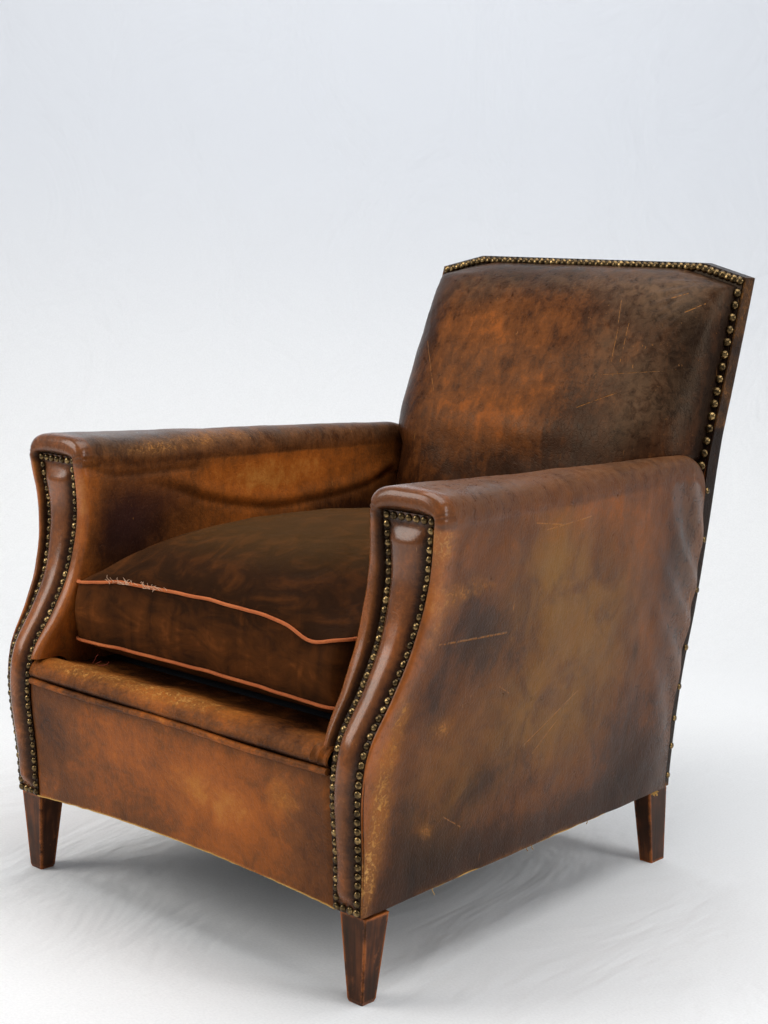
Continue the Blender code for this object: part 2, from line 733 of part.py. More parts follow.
def arm(side, leather, hair, hessian):
    """Leather, padding and side lining of one arm."""
    mirror = side < 0
    grid = arm_cover_grid()
    inner = inset_grid(grid, LEATHER, 1)
    between("arm_cover_" + side_name(side), grid, inner, leather, mirror)
    stations = arm_stations()
    under = inset_grid(grid, LEATHER + GAP, 1)
    last = len(INNER_STATIONS) + len(CROWN_STATIONS) + 2
    outer, core = [], []
    for i in range(last):
        row = [tuple(p) for p in under[i][ARM_FRONT_POINTS:-1]]
        outer.append(row)
        core.append(arm_core_row(*stations[i], row, ARM_WALK[:-1]))
    between("arm_stuffing_" + side_name(side), outer, core, hair, mirror)
    start = 5
    lining = inset_grid(grid, LEATHER + GAP + LINING, 1)
    name = "outer_arm_lining_" + side_name(side)
    between(name, under[last:, start:-2], lining[last:, start:-2], hessian, mirror)


# Facing strips with their nails

def strip_heights():
    """Row boundaries about one nail apart, with one at each level where the panel bends."""
    heights = [SKIRT_BOTTOM]
    for low, high in zip(PANEL_LEVELS, PANEL_LEVELS[1:]):
        count = max(1, round(hypot(high - low, panel_y(high) - panel_y(low)) / NAIL_PITCH))
        heights += [mix(low, high, k / count) for k in range(1, count + 1)]
    return heights


def raise_nails(bm, cells):
    """Turn flat cells into nail heads."""
    bmesh.ops.recalc_face_normals(bm, faces=bm.faces)
    bmesh.ops.poke(bm, faces=cells, offset=NAIL_RISE)


def facing_strip(side, finish):
    """The padded leather strip of one arm front, with a close row of nails round its edge."""
    bm = bmesh.new()
    heights = strip_heights()

    def vert(x, y, z):
        return bm.verts.new((side * x, y, z))

    rows, backs, cells = [], [], []
    for z in heights:
        a, b = inner_nail_x(z), outer_nail_x(z)
        y = panel_y(z)
        crown = STRIP_CROWN * ease(min(z - heights[1], heights[-2] - z) / 0.03)
        across = (a - NAIL_RADIUS, a + NAIL_RADIUS, (a + b) / 2, b - NAIL_RADIUS, b + NAIL_RADIUS)
        rows.append([vert(x, y - lift, z) for x, lift in zip(across, (0.0, 0.0, crown, 0.0, 0.0))])
        backs.append([vert(x, y + STRIP_THICKNESS, z) for x in (across[0], across[-1])])

    def split(start, end, count):
        """A line of vertices that cuts the way from start to end into count steps."""
        steps = [bm.verts.new(start.co.lerp(end.co, k / count)) for k in range(1, count)]
        return [start] + steps + [end]

    last = len(rows) - 1
    for i in range(1, last - 1):
        low, high = rows[i], rows[i + 1]
        cells.append(bm.faces.new((low[0], low[1], high[1], high[0])))
        cells.append(bm.faces.new((low[3], low[4], high[4], high[3])))
        if 1 < i < last - 2:
            bm.faces.new((low[1], low[2], high[2], high[1]))
            bm.faces.new((low[2], low[3], high[3], high[2]))
    for ends, count in (((0, 1, 2), STRIP_BOTTOM_NAILS), ((last, last - 1, last - 2), STRIP_TOP_NAILS)):
        edge, seam, beyond = (rows[k] for k in ends)
        for old in (edge[1:4] + [seam[2]]):
            bm.verts.remove(old)
        edge_line = split(edge[0], edge[4], count)
        inner = split(seam[1], seam[3], count - 2)
        seam_line = [seam[0]] + inner + [seam[4]]
        for k in range(count):
            cells.append(bm.faces.new((edge_line[k], edge_line[k + 1], seam_line[k + 1], seam_line[k])))
        bm.faces.new(inner + [beyond[3], beyond[2], beyond[1]])
        i = ends[0]
        bm.faces.new(edge_line + [backs[i][1], backs[i][0]])
    for i in range(last):
        bm.faces.new((backs[i][0], backs[i][1], backs[i + 1][1], backs[i + 1][0]))
        bm.faces.new((rows[i][0], backs[i][0], backs[i + 1][0], rows[i + 1][0]))
        bm.faces.new((rows[i][4], backs[i][1], backs[i + 1][1], rows[i + 1][4]))
    raise_nails(bm, cells)
    return finish_mesh("facing_strip_" + side_name(side), bm, finish)


# Seat front: apron, welt, lip and deck

def apron(finish):
    """The leather below the welt, drawn over the front rail, with the rail's arched lower edge."""
    half = inner_nail_x(0.200) - 0.002
    top = WELT_HEIGHT - WELT_RADIUS - 3 * GAP
    grid = []
    for level in (None,) + PANEL_LEVELS[1:3] + (top,):
        row = []
        for u in (-1.0, -0.978, -0.93, -0.5, 0.0, 0.5, 0.93, 0.978, 1.0):
            z = level if level else SKIRT_BOTTOM + FRONT_RAIL_ARCH * (1 - u * u)
            proud = 0.0 if abs(u) > 0.97 else 0.0030
            row.append((half * u, panel_y(z) + FLANGE_SET - proud, z))
        grid.append(row)
    return between("front_apron", grid, inset_grid(grid, LEATHER, -1), finish)


def welt(finish):
    """The leather bead between the apron and the lip."""
    half = POST_INNER - WELT_RADIUS * 0.2
    points = []
    for k in range(13):
        u = 2 * k / 12 - 1
        points.append((half * u, panel_y(WELT_HEIGHT) - 0.0005, WELT_HEIGHT + 0.001 * cos(5 * u)))
    return tube("front_welt", points, WELT_RADIUS, finish, sides=1)


def lip_path():
    """The seat's front edge from the welt over its roll to the deck, as (y, z)."""
    front = panel_y(WELT_HEIGHT)
    return [
        (front + 0.003, WELT_HEIGHT + WELT_RADIUS + 0.0022), (front - 0.001, 0.2775), (front + 0.004, 0.2865),
        (front + 0.014, LIP_HEIGHT - 0.0012), (front + 0.026, LIP_HEIGHT), (front + 0.040, 0.2895),
        (0.045, 0.2850), (0.085, DECK_HEIGHT),
    ]


def lip_half(y):
    return mix(POST_INNER - 2 * GAP, SEAT_HALF, ease((y - 0.004) / 0.014))


def seat_front(leather, cloth, hair):
    """Lip, deck and the padding under them."""
    path = lip_path()
    spread = (-1.0, -0.6, -0.2, 0.2, 0.6, 1.0)
    lip = [[(lip_half(y) * u, y, z) for u in spread] for y, z in path]
    between("seat_lip", lip, inset_grid(lip, LEATHER, -1), leather)
    start = path[-1][0] + GAP
    end = post_front_y(DECK_HEIGHT) - DECK_REAR_SPACE
    deck = [[(SEAT_HALF * u, y, DECK_HEIGHT) for u in spread] for y in (start, end)]
    between("seat_deck", deck, inset_grid(deck, HESSIAN, -1), cloth)
    base = HESSIAN_TOP + GAP
    knee = WELT_HEIGHT - STUFFING_KNEE_DROP
    line = [(panel_y(base) + POST_SET, base), (panel_y(knee) + 0.0085, knee)]
    line.append((path[0][0] + 0.0055, path[0][1]))
    under = inset_grid([[(u, y, z) for u in (-0.1, 0.1)] for y, z in path], LEATHER + 2 * GAP, -1)
    line += [(p[0][1], p[0][2]) for p in under[2:]]
    line += [(end, DECK_HEIGHT - LEATHER - 2 * GAP), (end, HESSIAN_TOP + GAP)]
    rings = [[(x, y, z) for y, z in line] for x in (-SEAT_HALF, 0.0, SEAT_HALF)]
    loft("seat_stuffing", rings, hair)


# Back

BACK_ROWS = [BACK_FOOT, 0.360, 0.430, 0.500, 0.545]
BACK_ROWS += [above_arms(share) for share in (0.11257, 0.31895, 0.52533, 0.69418)]
BACK_ROWS += [BACK_HEIGHT - drop for drop in (0.0495, 0.0295, 0.0205, 0.0150)]
BACK_COLUMNS = (0.0, 0.34, 0.63, 0.84, 0.96)
COVER_EDGE = REAR_LEG_OUTER - 0.0012


def outline_half(z):
    """Half the width of the back's face, which narrows above its shoulders."""
    if z <= BACK_SHOULDER - LEATHER:
        return COVER_EDGE
    s = (z - BACK_SHOULDER + LEATHER) / (BACK_HEIGHT - BACK_SHOULDER)
    return mix(COVER_EDGE, BACK_TOP_HALF - CORNER_SET, s)


def pad_half(z):
    """Half the width of the pad: between the arms below, up to the nails above them."""
    above_arms = outline_half(z + BACK_FLANGE * 1.5) - BACK_FLANGE
    return mix(post_inner_x() - 0.002, above_arms, ease((z - PAD_WIDENS) / PAD_WIDENS_OVER))


def back_grid():
    grid = []
    for z in BACK_ROWS:
        depth = smooth(PAD_DEPTH, z)
        half = pad_half(z)
        right = []
        for u in BACK_COLUMNS:
            right.append((half * u, nail_plane_y(z) - depth * (1 - u**6) ** 0.55, z))
        right.append((half + 0.0002, nail_plane_y(z), z))
        edge = outline_half(z) if z > 0.530 else post_inner_x() - 0.0005
        right.append((edge, nail_plane_y(z), z))
        left = [(-x, y, h) for x, y, h in right[:0:-1]]
        grid.append(left + right)
    for z in (BACK_HEIGHT - BACK_FLANGE * 0.98, BACK_HEIGHT - LEATHER - GAP):
        half = outline_half(z)
        inner = half - BACK_FLANGE
        spots = [inner * u for u in BACK_COLUMNS] + [inner + 0.0002, half]
        right = [(x, nail_plane_y(z), z) for x in spots]
        grid.append([(-x, y, h) for x, y, h in right[:0:-1]] + right)
    return grid


def inside_back(leather, hair, hessian):
    grid = back_grid()
    between("inside_back_cover", grid, inset_grid(grid, LEATHER, -1), leather)
    under = inset_grid(grid, LEATHER + GAP, -1)
    padding, flat = [], []
    for i, row in enumerate(under[:len(BACK_ROWS) - 1]):
        line = row[3:-3]
        padding.append([tuple(p) for p in line])
        flat.append([(p[0], nail_plane_y(p[2]) + LEATHER, p[2]) for p in line])
    between("back_stuffing", padding, flat, hair)
    half = ARM_INNER - 2 * GAP
    rings = []
    for z in (BACK_TACK_RAIL_BOTTOM + 0.004, 0.400, 0.500, BACK_SHOULDER - 0.008):
        y = nail_plane_y(z) + LEATHER + GAP
        rings.append([(-half, y, z), (half, y, z), (half, y + HESSIAN, z), (-half, y + HESSIAN, z)])
    loft("back_hessian", rings, hessian)


def outside_grid(inset):
    """Rear face, post sides and crest top as one grid, moved in by inset."""
    half, top, height = BACK_HALF - inset, BACK_TOP_HALF - inset * 0.7, BACK_HEIGHT - inset
    round_off = 0.003

    def row(z, half_width, front):
        rear = rear_y(z) - inset
        right = [(0.0, rear, z), (half_width * 0.5, rear, z), (half_width - round_off, rear, z)]
        right += [(half_width, rear - round_off, z), (half_width, front, z)]
        return [(-x, y, h) for x, y, h in right[:0:-1]] + right

    heights = (SKIRT_BOTTOM,) + REAR_LEVELS[2:-1] + (BACK_SHOULDER - inset,)
    grid = [row(z, half, side_seam_y(z) + 0.001) for z in heights]
    front = side_seam_y(BACK_HEIGHT) + 0.001
    grid.append(row(height, top, front))
    lid = [(x * 0.94, front, z + 0.0001) for x, _, z in grid[-1]]
    grid.append(lid)
    return grid


def outside_back(leather):
    """The leather of the rear face, which wraps round the posts and over the crest."""
    return between("outside_back_cover", outside_grid(0.0), outside_grid(LEATHER), leather)


def back_nail_path():
    """Middle line of the nails round the inside back, as (x, z), from the left foot over the top."""
    x = COVER_EDGE - BACK_FLANGE / 2
    drop = BACK_FLANGE / 2 + LEATHER + GAP
    corner, kink = BACK_SHOULDER - drop * 0.8, (BACK_TOP_HALF - CORNER_SET, BACK_HEIGHT - drop)
    points = []

    def run(a, b, pitch):
        count = max(2, round(hypot(b[0] - a[0], b[1] - a[1]) / pitch))
        points.extend((mix(a[0], b[0], k / count), mix(a[1], b[1], k / count)) for k in range(count))

    run((-x, BACK_NAIL_LOWEST), (-x, corner), BACK_NAIL_PITCH)
    run((-x, corner), (-kink[0], kink[1]), BACK_TOP_NAIL_PITCH)
    run((-kink[0], kink[1]), kink, BACK_TOP_NAIL_PITCH)
    run(kink, (x, corner), BACK_TOP_NAIL_PITCH)
    run((x, corner), (x, BACK_NAIL_LOWEST), BACK_NAIL_PITCH)
    return points + [(x, BACK_NAIL_LOWEST)]


def back_nails(finish):
    """The nails round the inside back, raised on the strip of leather that they hold."""
    path = back_nail_path()
    bm = bmesh.new()
    half = BACK_FLANGE / 2 - 0.0004
    fronts, backs, cells = [], [], []
    for k, (x, z) in enumerate(path):
        a, b = path[max(k - 1, 0)], path[min(k + 1, len(path) - 1)]
        length = hypot(b[0] - a[0], b[1] - a[1])
        nx, nz = -(b[1] - a[1]) / length, (b[0] - a[0]) / length
        pair = [(x - nx * half, z - nz * half), (x + nx * half, z + nz * half)]
        fronts.append([bm.verts.new((px, nail_plane_y(pz) - GAP - 0.0012, pz)) for px, pz in pair])
        backs.append([bm.verts.new((px, nail_plane_y(pz) - GAP, pz)) for px, pz in pair])
    for k in range(len(path) - 1):
        (a, b), (c, d) = fronts[k], fronts[k + 1]
        (e, f), (g, h) = backs[k], backs[k + 1]
        cells.append(bm.faces.new((a, b, d, c)))
        bm.faces.new((e, g, h, f))
        bm.faces.new((a, c, g, e))
        bm.faces.new((b, f, h, d))
    for end in (0, -1):
        bm.faces.new((fronts[end][0], fronts[end][1], backs[end][1], backs[end][0]))
    raise_nails(bm, cells)
    return finish_mesh("back_edge_nails", bm, finish)


# Loose cushion

CUSHION_POINTS = 28


def cushion_outline(scale):
    """The cushion's plan, a rounded rectangle, shrunk towards its middle."""
    middle = (CUSHION_FRONT + CUSHION_REAR) / 2
    half_depth = (CUSHION_REAR - CUSHION_FRONT) / 2
    points = []
    for k in range(CUSHION_POINTS):
        angle = 2 * pi * (k + 0.5) / CUSHION_POINTS
        c, s = cos(angle), sin(angle)
        power = 0.30
        x = CUSHION_HALF_WIDTH * np.sign(c) * abs(c) ** power
        y = half_depth * np.sign(s) * abs(s) ** power
        points.append((CUSHION_CENTRE_X + x * scale, middle + y * scale))
    return points


def seam_wave(x, y):
    """How far the front edge's seams rise above their corners."""
    front = max(0.0, 1 - (y - CUSHION_FRONT) / 0.15)
    across = (x - CUSHION_CENTRE_X) / CUSHION_HALF_WIDTH
    return front * (1 - across * across)


def cushion_ring(scale, z, wave, out=0.0):
    plan = cushion_outline(scale)
    middle = ((CUSHION_FRONT + CUSHION_REAR) / 2)
    ring = []
    for x, y in plan:
        dx, dy = (x - CUSHION_CENTRE_X) / CUSHION_HALF_WIDTH, (y - middle) / (CUSHION_REAR - middle)
        big = max(abs(dx), abs(dy))
        nx = dx if abs(dx) > 0.93 * big else 0.0
        ny = dy if abs(dy) > 0.93 * big else 0.0
        length = hypot(nx, ny)
        ring.append((x + out * nx / length, y + out * ny / length, z + wave * seam_wave(x, y)))
    return ring


def cushion(velvet, piping):
    """A feather cushion with boxed sides, its seams drawn in and its crown high."""
    belly = DECK_HEIGHT + GAP
    rings = []
    for scale, s in ((0.30, 0.0), (0.70, 0.12), (0.90, 0.55)):
        rings.append(cushion_ring(scale, mix(belly, CUSHION_SEAM_LOW, s), 0.0))
    rings.append(cushion_ring(0.985, CUSHION_SEAM_LOW, 0.004))
    rings.append(cushion_ring(1.0, mix(CUSHION_SEAM_LOW, CUSHION_SEAM_HIGH, 0.5), 0.008))
    rings.append(cushion_ring(0.985, CUSHION_SEAM_HIGH, 0.012))
    for scale, s in ((0.93, 0.42), (0.80, 0.70), (0.60, 0.89), (0.30, 1.0)):
        rings.append(cushion_ring(scale, mix(CUSHION_SEAM_HIGH, CUSHION_CROWN, s), 0.004 * (1 - s)))
    loft("seat_cushion", rings, velvet)
    reach = PIPING_RADIUS + 3 * GAP
    for name, z, wave in (("bottom", CUSHION_SEAM_LOW, 0.004), ("top", CUSHION_SEAM_HIGH, 0.012)):
        line = cushion_ring(0.985, z, wave, reach)
        tube("cushion_piping_" + name, line, PIPING_RADIUS, piping, cyclic=True)


def centre_on_floor():
    """Move the root so that the chair stands on the floor, centred on the origin."""
    bpy.context.view_layer.update()
    graph = bpy.context.evaluated_depsgraph_get()
    corners = []
    for made in bpy.data.objects:
        if made.type in ("MESH", "CURVE"):
            mesh = made.evaluated_get(graph).to_mesh()
            corners += [made.matrix_world @ v.co for v in mesh.vertices]
            made.evaluated_get(graph).to_mesh_clear()
    points = np.array(corners)
    low, high = points.min(axis=0), points.max(axis=0)
    ROOT.location = (-(low[0] + high[0]) / 2, -(low[1] + high[1]) / 2, -low[2])


def build():
    global ROOT
    clear_scene()
    ROOT = bpy.data.objects.new("chair", None)
    bpy.context.collection.objects.link(ROOT)
    wood = material("beech_frame", (0.45, 0.30, 0.17), 0.6)
    leg_wood = material("dark_wood", (0.055, 0.028, 0.018), 0.4)
    leather = material("brown_leather", (0.115, 0.045, 0.022), 0.38)
    dark_leather = material("dark_leather", (0.030, 0.016, 0.014), 0.42)
    strip_leather = material("strip_leather_and_nails", (0.13, 0.05, 0.025), 0.35)
    brass = material("nail_brass", (0.23, 0.17, 0.08), 0.35, 1.0)
    velvet = material("brown_velvet", (0.06, 0.022, 0.012), 0.85)
    cord = material("orange_piping", (0.42, 0.16, 0.06), 0.8)
    hair = material("horsehair", (0.30, 0.24, 0.17), 0.95)
    hessian = material("hessian", (0.40, 0.31, 0.19), 0.95)
    jute = material("jute_webbing", (0.45, 0.35, 0.22), 0.95)
    steel = material("spring_steel", (0.30, 0.26, 0.22), 0.45, 1.0)
    deck_cloth = material("deck_cloth", (0.045, 0.05, 0.065), 0.9)
    dust_cloth = material("dust_cloth", (0.03, 0.03, 0.03), 0.95)

    for side in (1, -1):
        front_post(side, leg_wood)
        back_post(side, leg_wood)
        side_rails(side, wood)
        arm(side, leather, hair, hessian)
        facing_strip(side, strip_leather)
    front_rail(wood)
    rear_rail(wood)
    back_rails(wood)
    corner_blocks(wood)
    webbing(jute)
    springs(steel)
    seat_sheets(hessian, dust_cloth)
    apron(leather)
    welt(leather)
    seat_front(leather, deck_cloth, hair)
    inside_back(leather, hair, hessian)
    outside_back(dark_leather)
    back_nails(brass)
    cushion(velvet, cord)
    centre_on_floor()


build()
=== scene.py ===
import json
from math import cos, exp, hypot, pi, radians, sin, sqrt
from random import Random

import bmesh
import bpy
import numpy as np
from mathutils import Matrix, Vector, noise


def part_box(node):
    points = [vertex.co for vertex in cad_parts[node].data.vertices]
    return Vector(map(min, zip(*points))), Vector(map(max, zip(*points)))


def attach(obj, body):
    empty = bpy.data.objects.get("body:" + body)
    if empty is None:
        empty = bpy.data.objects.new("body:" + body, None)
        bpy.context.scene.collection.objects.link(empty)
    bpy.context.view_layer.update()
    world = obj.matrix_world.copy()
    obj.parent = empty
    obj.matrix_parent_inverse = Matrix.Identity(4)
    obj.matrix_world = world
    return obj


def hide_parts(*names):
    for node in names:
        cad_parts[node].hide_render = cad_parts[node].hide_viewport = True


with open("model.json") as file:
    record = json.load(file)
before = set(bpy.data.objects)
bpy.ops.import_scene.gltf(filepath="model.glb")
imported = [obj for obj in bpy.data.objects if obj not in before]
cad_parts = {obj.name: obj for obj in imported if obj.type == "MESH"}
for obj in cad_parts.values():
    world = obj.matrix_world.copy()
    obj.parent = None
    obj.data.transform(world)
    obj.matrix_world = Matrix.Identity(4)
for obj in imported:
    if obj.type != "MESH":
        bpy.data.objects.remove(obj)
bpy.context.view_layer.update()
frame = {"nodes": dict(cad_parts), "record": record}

# Worn club chair: its leather, velvet, nails, wood and wear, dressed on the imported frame.
# Metres, +Z up, the chair faces -Y. Places are written with y = 0 at the front faces of the
# front legs and are moved into the frame by FRONT.

FRONT_FOOT_Y = 0.0200
MOUNTS = {mount["name"]: mount["pos_m"] for mount in frame["record"]["mounts"]}
FRONT = MOUNTS["front_foot_left"][1] - FRONT_FOOT_Y

LEATHER = 0.0025
SKIRT_BOTTOM = 0.107
DECK_HEIGHT = 0.2835
LIP_HEIGHT = 0.2935
WELT_HEIGHT = 0.2635
ARM_HEIGHT = 0.572
ARM_SHOULDER = 0.535
BACK_HEIGHT = 0.8215
BACK_SHOULDER = 0.803
ARM_INNER = 0.243
ARM_REAR_OUTER = 0.2725
ARM_SLOPE = 0.012
ARM_FALL = 0.044
ARM_FALL_START = 0.645
ARM_FALL_LENGTH = 0.066
BACK_HALF = 0.270
BACK_TOP_HALF = 0.197
PAD_HALF_LOW = 0.2415
COVER_EDGE = 0.2663
BACK_FLANGE = 0.0075
STRIP_TOP = 0.5445
NAIL_RADIUS = 0.0050
NAIL_PITCH = 0.0106
FLANGE_LAP = 0.0055
FLANGE_SET = 0.0033
ROLL_DEPTH = 0.012
ROLL_BULGE = 0.0075
STRIP_CROWN = 0.0085
FRONT_RAIL_ARCH = 0.011
SEAT_HALF = 0.2445
LIP_FRONT_HALF = 0.2614

# Curves of the chair, as (height, value) keys that a smooth line runs through
PANEL_FRONT = [
    (0.104, -0.005), (0.170, -0.010), (0.250, -0.019), (0.300, -0.011),
    (0.350, 0.020), (0.400, 0.044), (0.470, 0.057), (0.545, 0.050),
]
NAIL_LINE_OUTER = [(0.104, 0.2975), (0.250, 0.3055), (0.370, 0.313), (0.450, 0.323), (0.545, 0.3355)]
NAIL_LINE_INNER = [(0.104, 0.2680), (0.250, 0.2700), (0.470, 0.2715), (0.545, 0.2705)]
ROLL_EDGE_OUTER = [(0.104, 0.3050), (0.250, 0.3130), (0.370, 0.3290), (0.450, 0.3430), (0.545, 0.3600)]
ROLL_EDGE_INNER = [(0.290, 0.2500), (0.370, 0.2420), (0.480, 0.2420), (0.545, 0.2480)]
REAR_LINE = [
    (0.000, 0.6680), (0.107, 0.6640), (0.250, 0.6810), (0.360, 0.7080), (0.470, 0.7290),
    (0.580, 0.7480), (0.650, 0.7680), (0.745, 0.7940), (0.825, 0.8150),
]
SIDE_SEAM = [(0.107, 0.6470), (0.250, 0.6640), (0.360, 0.6910), (0.440, 0.7045), (0.500, 0.7050), (0.555, 0.711)]
PAD_DEPTH = [
    (0.290, 0.040), (0.360, 0.062), (0.450, 0.082), (0.580, 0.098), (0.650, 0.090),
    (0.700, 0.083), (0.750, 0.071), (0.780, 0.056), (0.797, 0.039), (0.808, 0.020), (0.8135, 0.0),
]
BACK_NAIL_PLANE_Z = 0.555
BACK_NAIL_PLANE_Y = 0.711
BACK_NAIL_PLANE_SLOPE = 0.279

# The loose cushion
CUSHION_CENTRE = (-0.0065, 0.3035)
CUSHION_HALF = (0.2335, 0.2715)
CUSHION_SEAM_LOW = 0.3150
CUSHION_SEAM_HIGH = 0.3935
CUSHION_CROWN = 0.481
PIPING_RADIUS = 0.0021


# Numbers and curves

def mix(a, b, s):
    return a + (b - a) * s


def ease(s):
    s = min(max(s, 0.0), 1.0)
    return s * s * (3 - 2 * s)


def smooth(keys, t):
    """The value at t of a smooth curve through (t, value) keys."""
    if t <= keys[0][0]:
        return keys[0][1]
    if t >= keys[-1][0]:
        return keys[-1][1]
    i = max(k for k in range(len(keys) - 1) if keys[k][0] <= t)

    def slope(k):
        a, b = keys[max(k - 1, 0)], keys[min(k + 1, len(keys) - 1)]
        return (b[1] - a[1]) / (b[0] - a[0])

    (t0, v0), (t1, v1) = keys[i], keys[i + 1]
    span = t1 - t0
    s = (t - t0) / span
    return (
        v0 * (2 * s**3 - 3 * s**2 + 1)
        + slope(i) * span * (s**3 - 2 * s**2 + s)
        + v1 * (3 * s**2 - 2 * s**3)
        + slope(i + 1) * span * (s**3 - s**2)
    )


def panel_y(z):
    return smooth(PANEL_FRONT, z)


def panel_slope(z):
    return (panel_y(z + 0.002) - panel_y(z - 0.002)) / 0.004


def nail_plane_y(z):
    return BACK_NAIL_PLANE_Y + BACK_NAIL_PLANE_SLOPE * (z - BACK_NAIL_PLANE_Z)


def side_seam_y(z):
    return nail_plane_y(z) if z > BACK_NAIL_PLANE_Z else smooth(SIDE_SEAM, z)


def side_x(y, z):
    """The outer surface of the side: out at the arm's front, in at the back post."""
    front = panel_y(z)
    s = min(max((y - front) / (side_seam_y(z) - front), 0.0), 1.0)
    belly = 0.006 * sin(pi * s) * sin(pi * min(max((z - SKIRT_BOTTOM) / 0.44, 0.0), 1.0))
    return mix(smooth(ROLL_EDGE_OUTER, z), ARM_REAR_OUTER, s) + belly


def crown_z(y):
    t = min(max((y - ARM_FALL_START) / ARM_FALL_LENGTH, 0.0), 1.0)
    return ARM_HEIGHT - ARM_SLOPE * y - ARM_FALL * (1 - sqrt(1 - t * t))


def lumps(point, size, seed=0.0):
    """Smooth noise about zero at a place, with features of the given size."""
    return noise.noise(Vector(point) / size + Vector((seed, seed * 1.7, -seed)))


def ease_array(s):
    s = np.clip(s, 0.0, 1.0)
    return s * s * (3 - 2 * s)


def bell(distance, width):
    return np.exp(-((distance / width) ** 2))


def to_line(points, line):
    """Distances of points to a broken line, all in two dimensions."""
    best = np.full(len(points), 1e9)
    for a, b in zip(line, line[1:]):
        a, b = np.array(a), np.array(b)
        t = np.clip(((points - a) @ (b - a)) / ((b - a) @ (b - a)), 0, 1)
        best = np.minimum(best, np.linalg.norm(points - a - t[:, None] * (b - a), axis=1))
    return best


# Meshes

def into_frame(points):
    return np.array(points, float).reshape(-1, 3) + np.array([0.0, FRONT, 0.0])


def add_mesh(name, points, faces, finish, sharp=0.9):
    """A smooth-shaded object from points in the chair's own places."""
    mesh = bpy.data.meshes.new(name)
    mesh.from_pydata([tuple(p) for p in into_frame(points)], [], faces)
    mesh.update()
    made = bpy.data.objects.new(name, mesh)
    bpy.context.collection.objects.link(made)
    bm = bmesh.new()
    bm.from_mesh(mesh)
    bmesh.ops.recalc_face_normals(bm, faces=bm.faces)
    bm.to_mesh(mesh)
    bm.free()
    mesh.shade_smooth()
    mesh.set_sharp_from_angle(angle=sharp)
    mesh.materials.append(finish)
    return made


def grid_normals(grid):
    along = np.gradient(grid, axis=0)
    across = np.gradient(grid, axis=1)
    normals = np.cross(along, across)
    return normals / np.maximum(np.linalg.norm(normals, axis=2, keepdims=True), 1e-12)


def skin(name, grid, thickness, finish, out, closed_back=None):
    """A sheet of leather from a grid of points, with its inner face and its cut edges."""
    grid = np.array(grid, float)
    inner = closed_back if closed_back is not None else grid - grid_normals(grid) * thickness * out
    rows, columns = grid.shape[:2]
    index = np.arange(rows * columns).reshape(rows, columns)
    faces = []
    for base in (0, rows * columns):
        a, b = index[:-1, :-1] + base, index[1:, :-1] + base
        c, d = index[1:, 1:] + base, index[:-1, 1:] + base
        faces += np.stack([a, b, c, d], axis=2).reshape(-1, 4).tolist()
    edge = [(i, 0) for i in range(rows)] + [(rows - 1, j) for j in range(1, columns)]
    edge += [(i, columns - 1) for i in range(rows - 2, -1, -1)] + [(0, j) for j in range(columns - 2, 0, -1)]
    for (i, j), (m, n) in zip(edge, edge[1:] + edge[:1]):
        p, q = int(index[i, j]), int(index[m, n])
        faces.append([p, q, q + rows * columns, p + rows * columns])
    points = np.concatenate([grid.reshape(-1, 3), inner.reshape(-1, 3)])
    return add_mesh(name, points, faces, finish)


def paint(piece, name, values):
    """Store one number for each vertex, which the piece's material reads by name."""
    layer = piece.data.attributes.new(name, "FLOAT", "POINT")
    layer.data.foreach_set("value", np.clip(np.asarray(values, float), 0.0, 1.0).astype(np.float32))


def places(piece):
    """A piece's vertices in the chair's own places."""
    flat = np.empty(len(piece.data.vertices) * 3)
    piece.data.vertices.foreach_get("co", flat)
    return flat.reshape(-1, 3) - np.array([0.0, FRONT, 0.0])


def blots(points, spots):
    """Soft patches: spots are (centre, radii, strength)."""
    total = np.zeros(len(points))
    for centre, radii, strength in spots:
        d = (points - np.array(centre)) / np.array(radii)
        total += strength * np.exp(-(d * d).sum(axis=1))
    return total


def settle(piece, *nodes, slot, fill=None):
    """Ride on the chair and stand for its CAD nodes; the slot is not used."""
    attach(piece, "root")
    if nodes:
        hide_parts(*nodes)
    return piece


def domes(name, seats, finish, height=0.5, sides=14, seed=3):
    """Nail heads: seats are (place, outward direction, radius)."""
    chance = Random(seed)
    profile = [(1.0, 0.0), (0.97, 0.30), (0.82, 0.62), (0.55, 0.87), (0.25, 0.98)]
    points, faces = [], []
    for place, out, radius in seats:
        out = Vector(out).normalized()
        out = (out + Vector((chance.uniform(-0.09, 0.09), 0.0, chance.uniform(-0.09, 0.09)))).normalized()
        turn = out.to_track_quat("Z", "Y").to_matrix()
        size = radius * chance.uniform(0.96, 1.03)
        place = Vector(place) + out * chance.uniform(-0.0003, 0.0003)
        start = len(points)
        for share, rise in profile:
            for k in range(sides):
                angle = 2 * pi * k / sides
                spot = Vector((size * share * cos(angle), size * share * sin(angle), size * height * rise))
                points.append(place + turn @ spot)
        points.append(place + turn @ Vector((0.0, 0.0, size * height)))
        points.append(place - turn @ Vector((0.0, 0.0, 0.0006)))
        top, under = len(points) - 2, len(points) - 1
        for ring in range(len(profile) - 1):
            for k in range(sides):
                a, b = start + ring * sides + k, start + ring * sides + (k + 1) % sides
                faces.append([a, b, b + sides, a + sides])
        last = start + (len(profile) - 1) * sides
        for k in range(sides):
            faces.append([last + k, last + (k + 1) % sides, top])
            faces.append([start + (k + 1) % sides, start + k, under])
    return add_mesh(name, points, faces, finish)


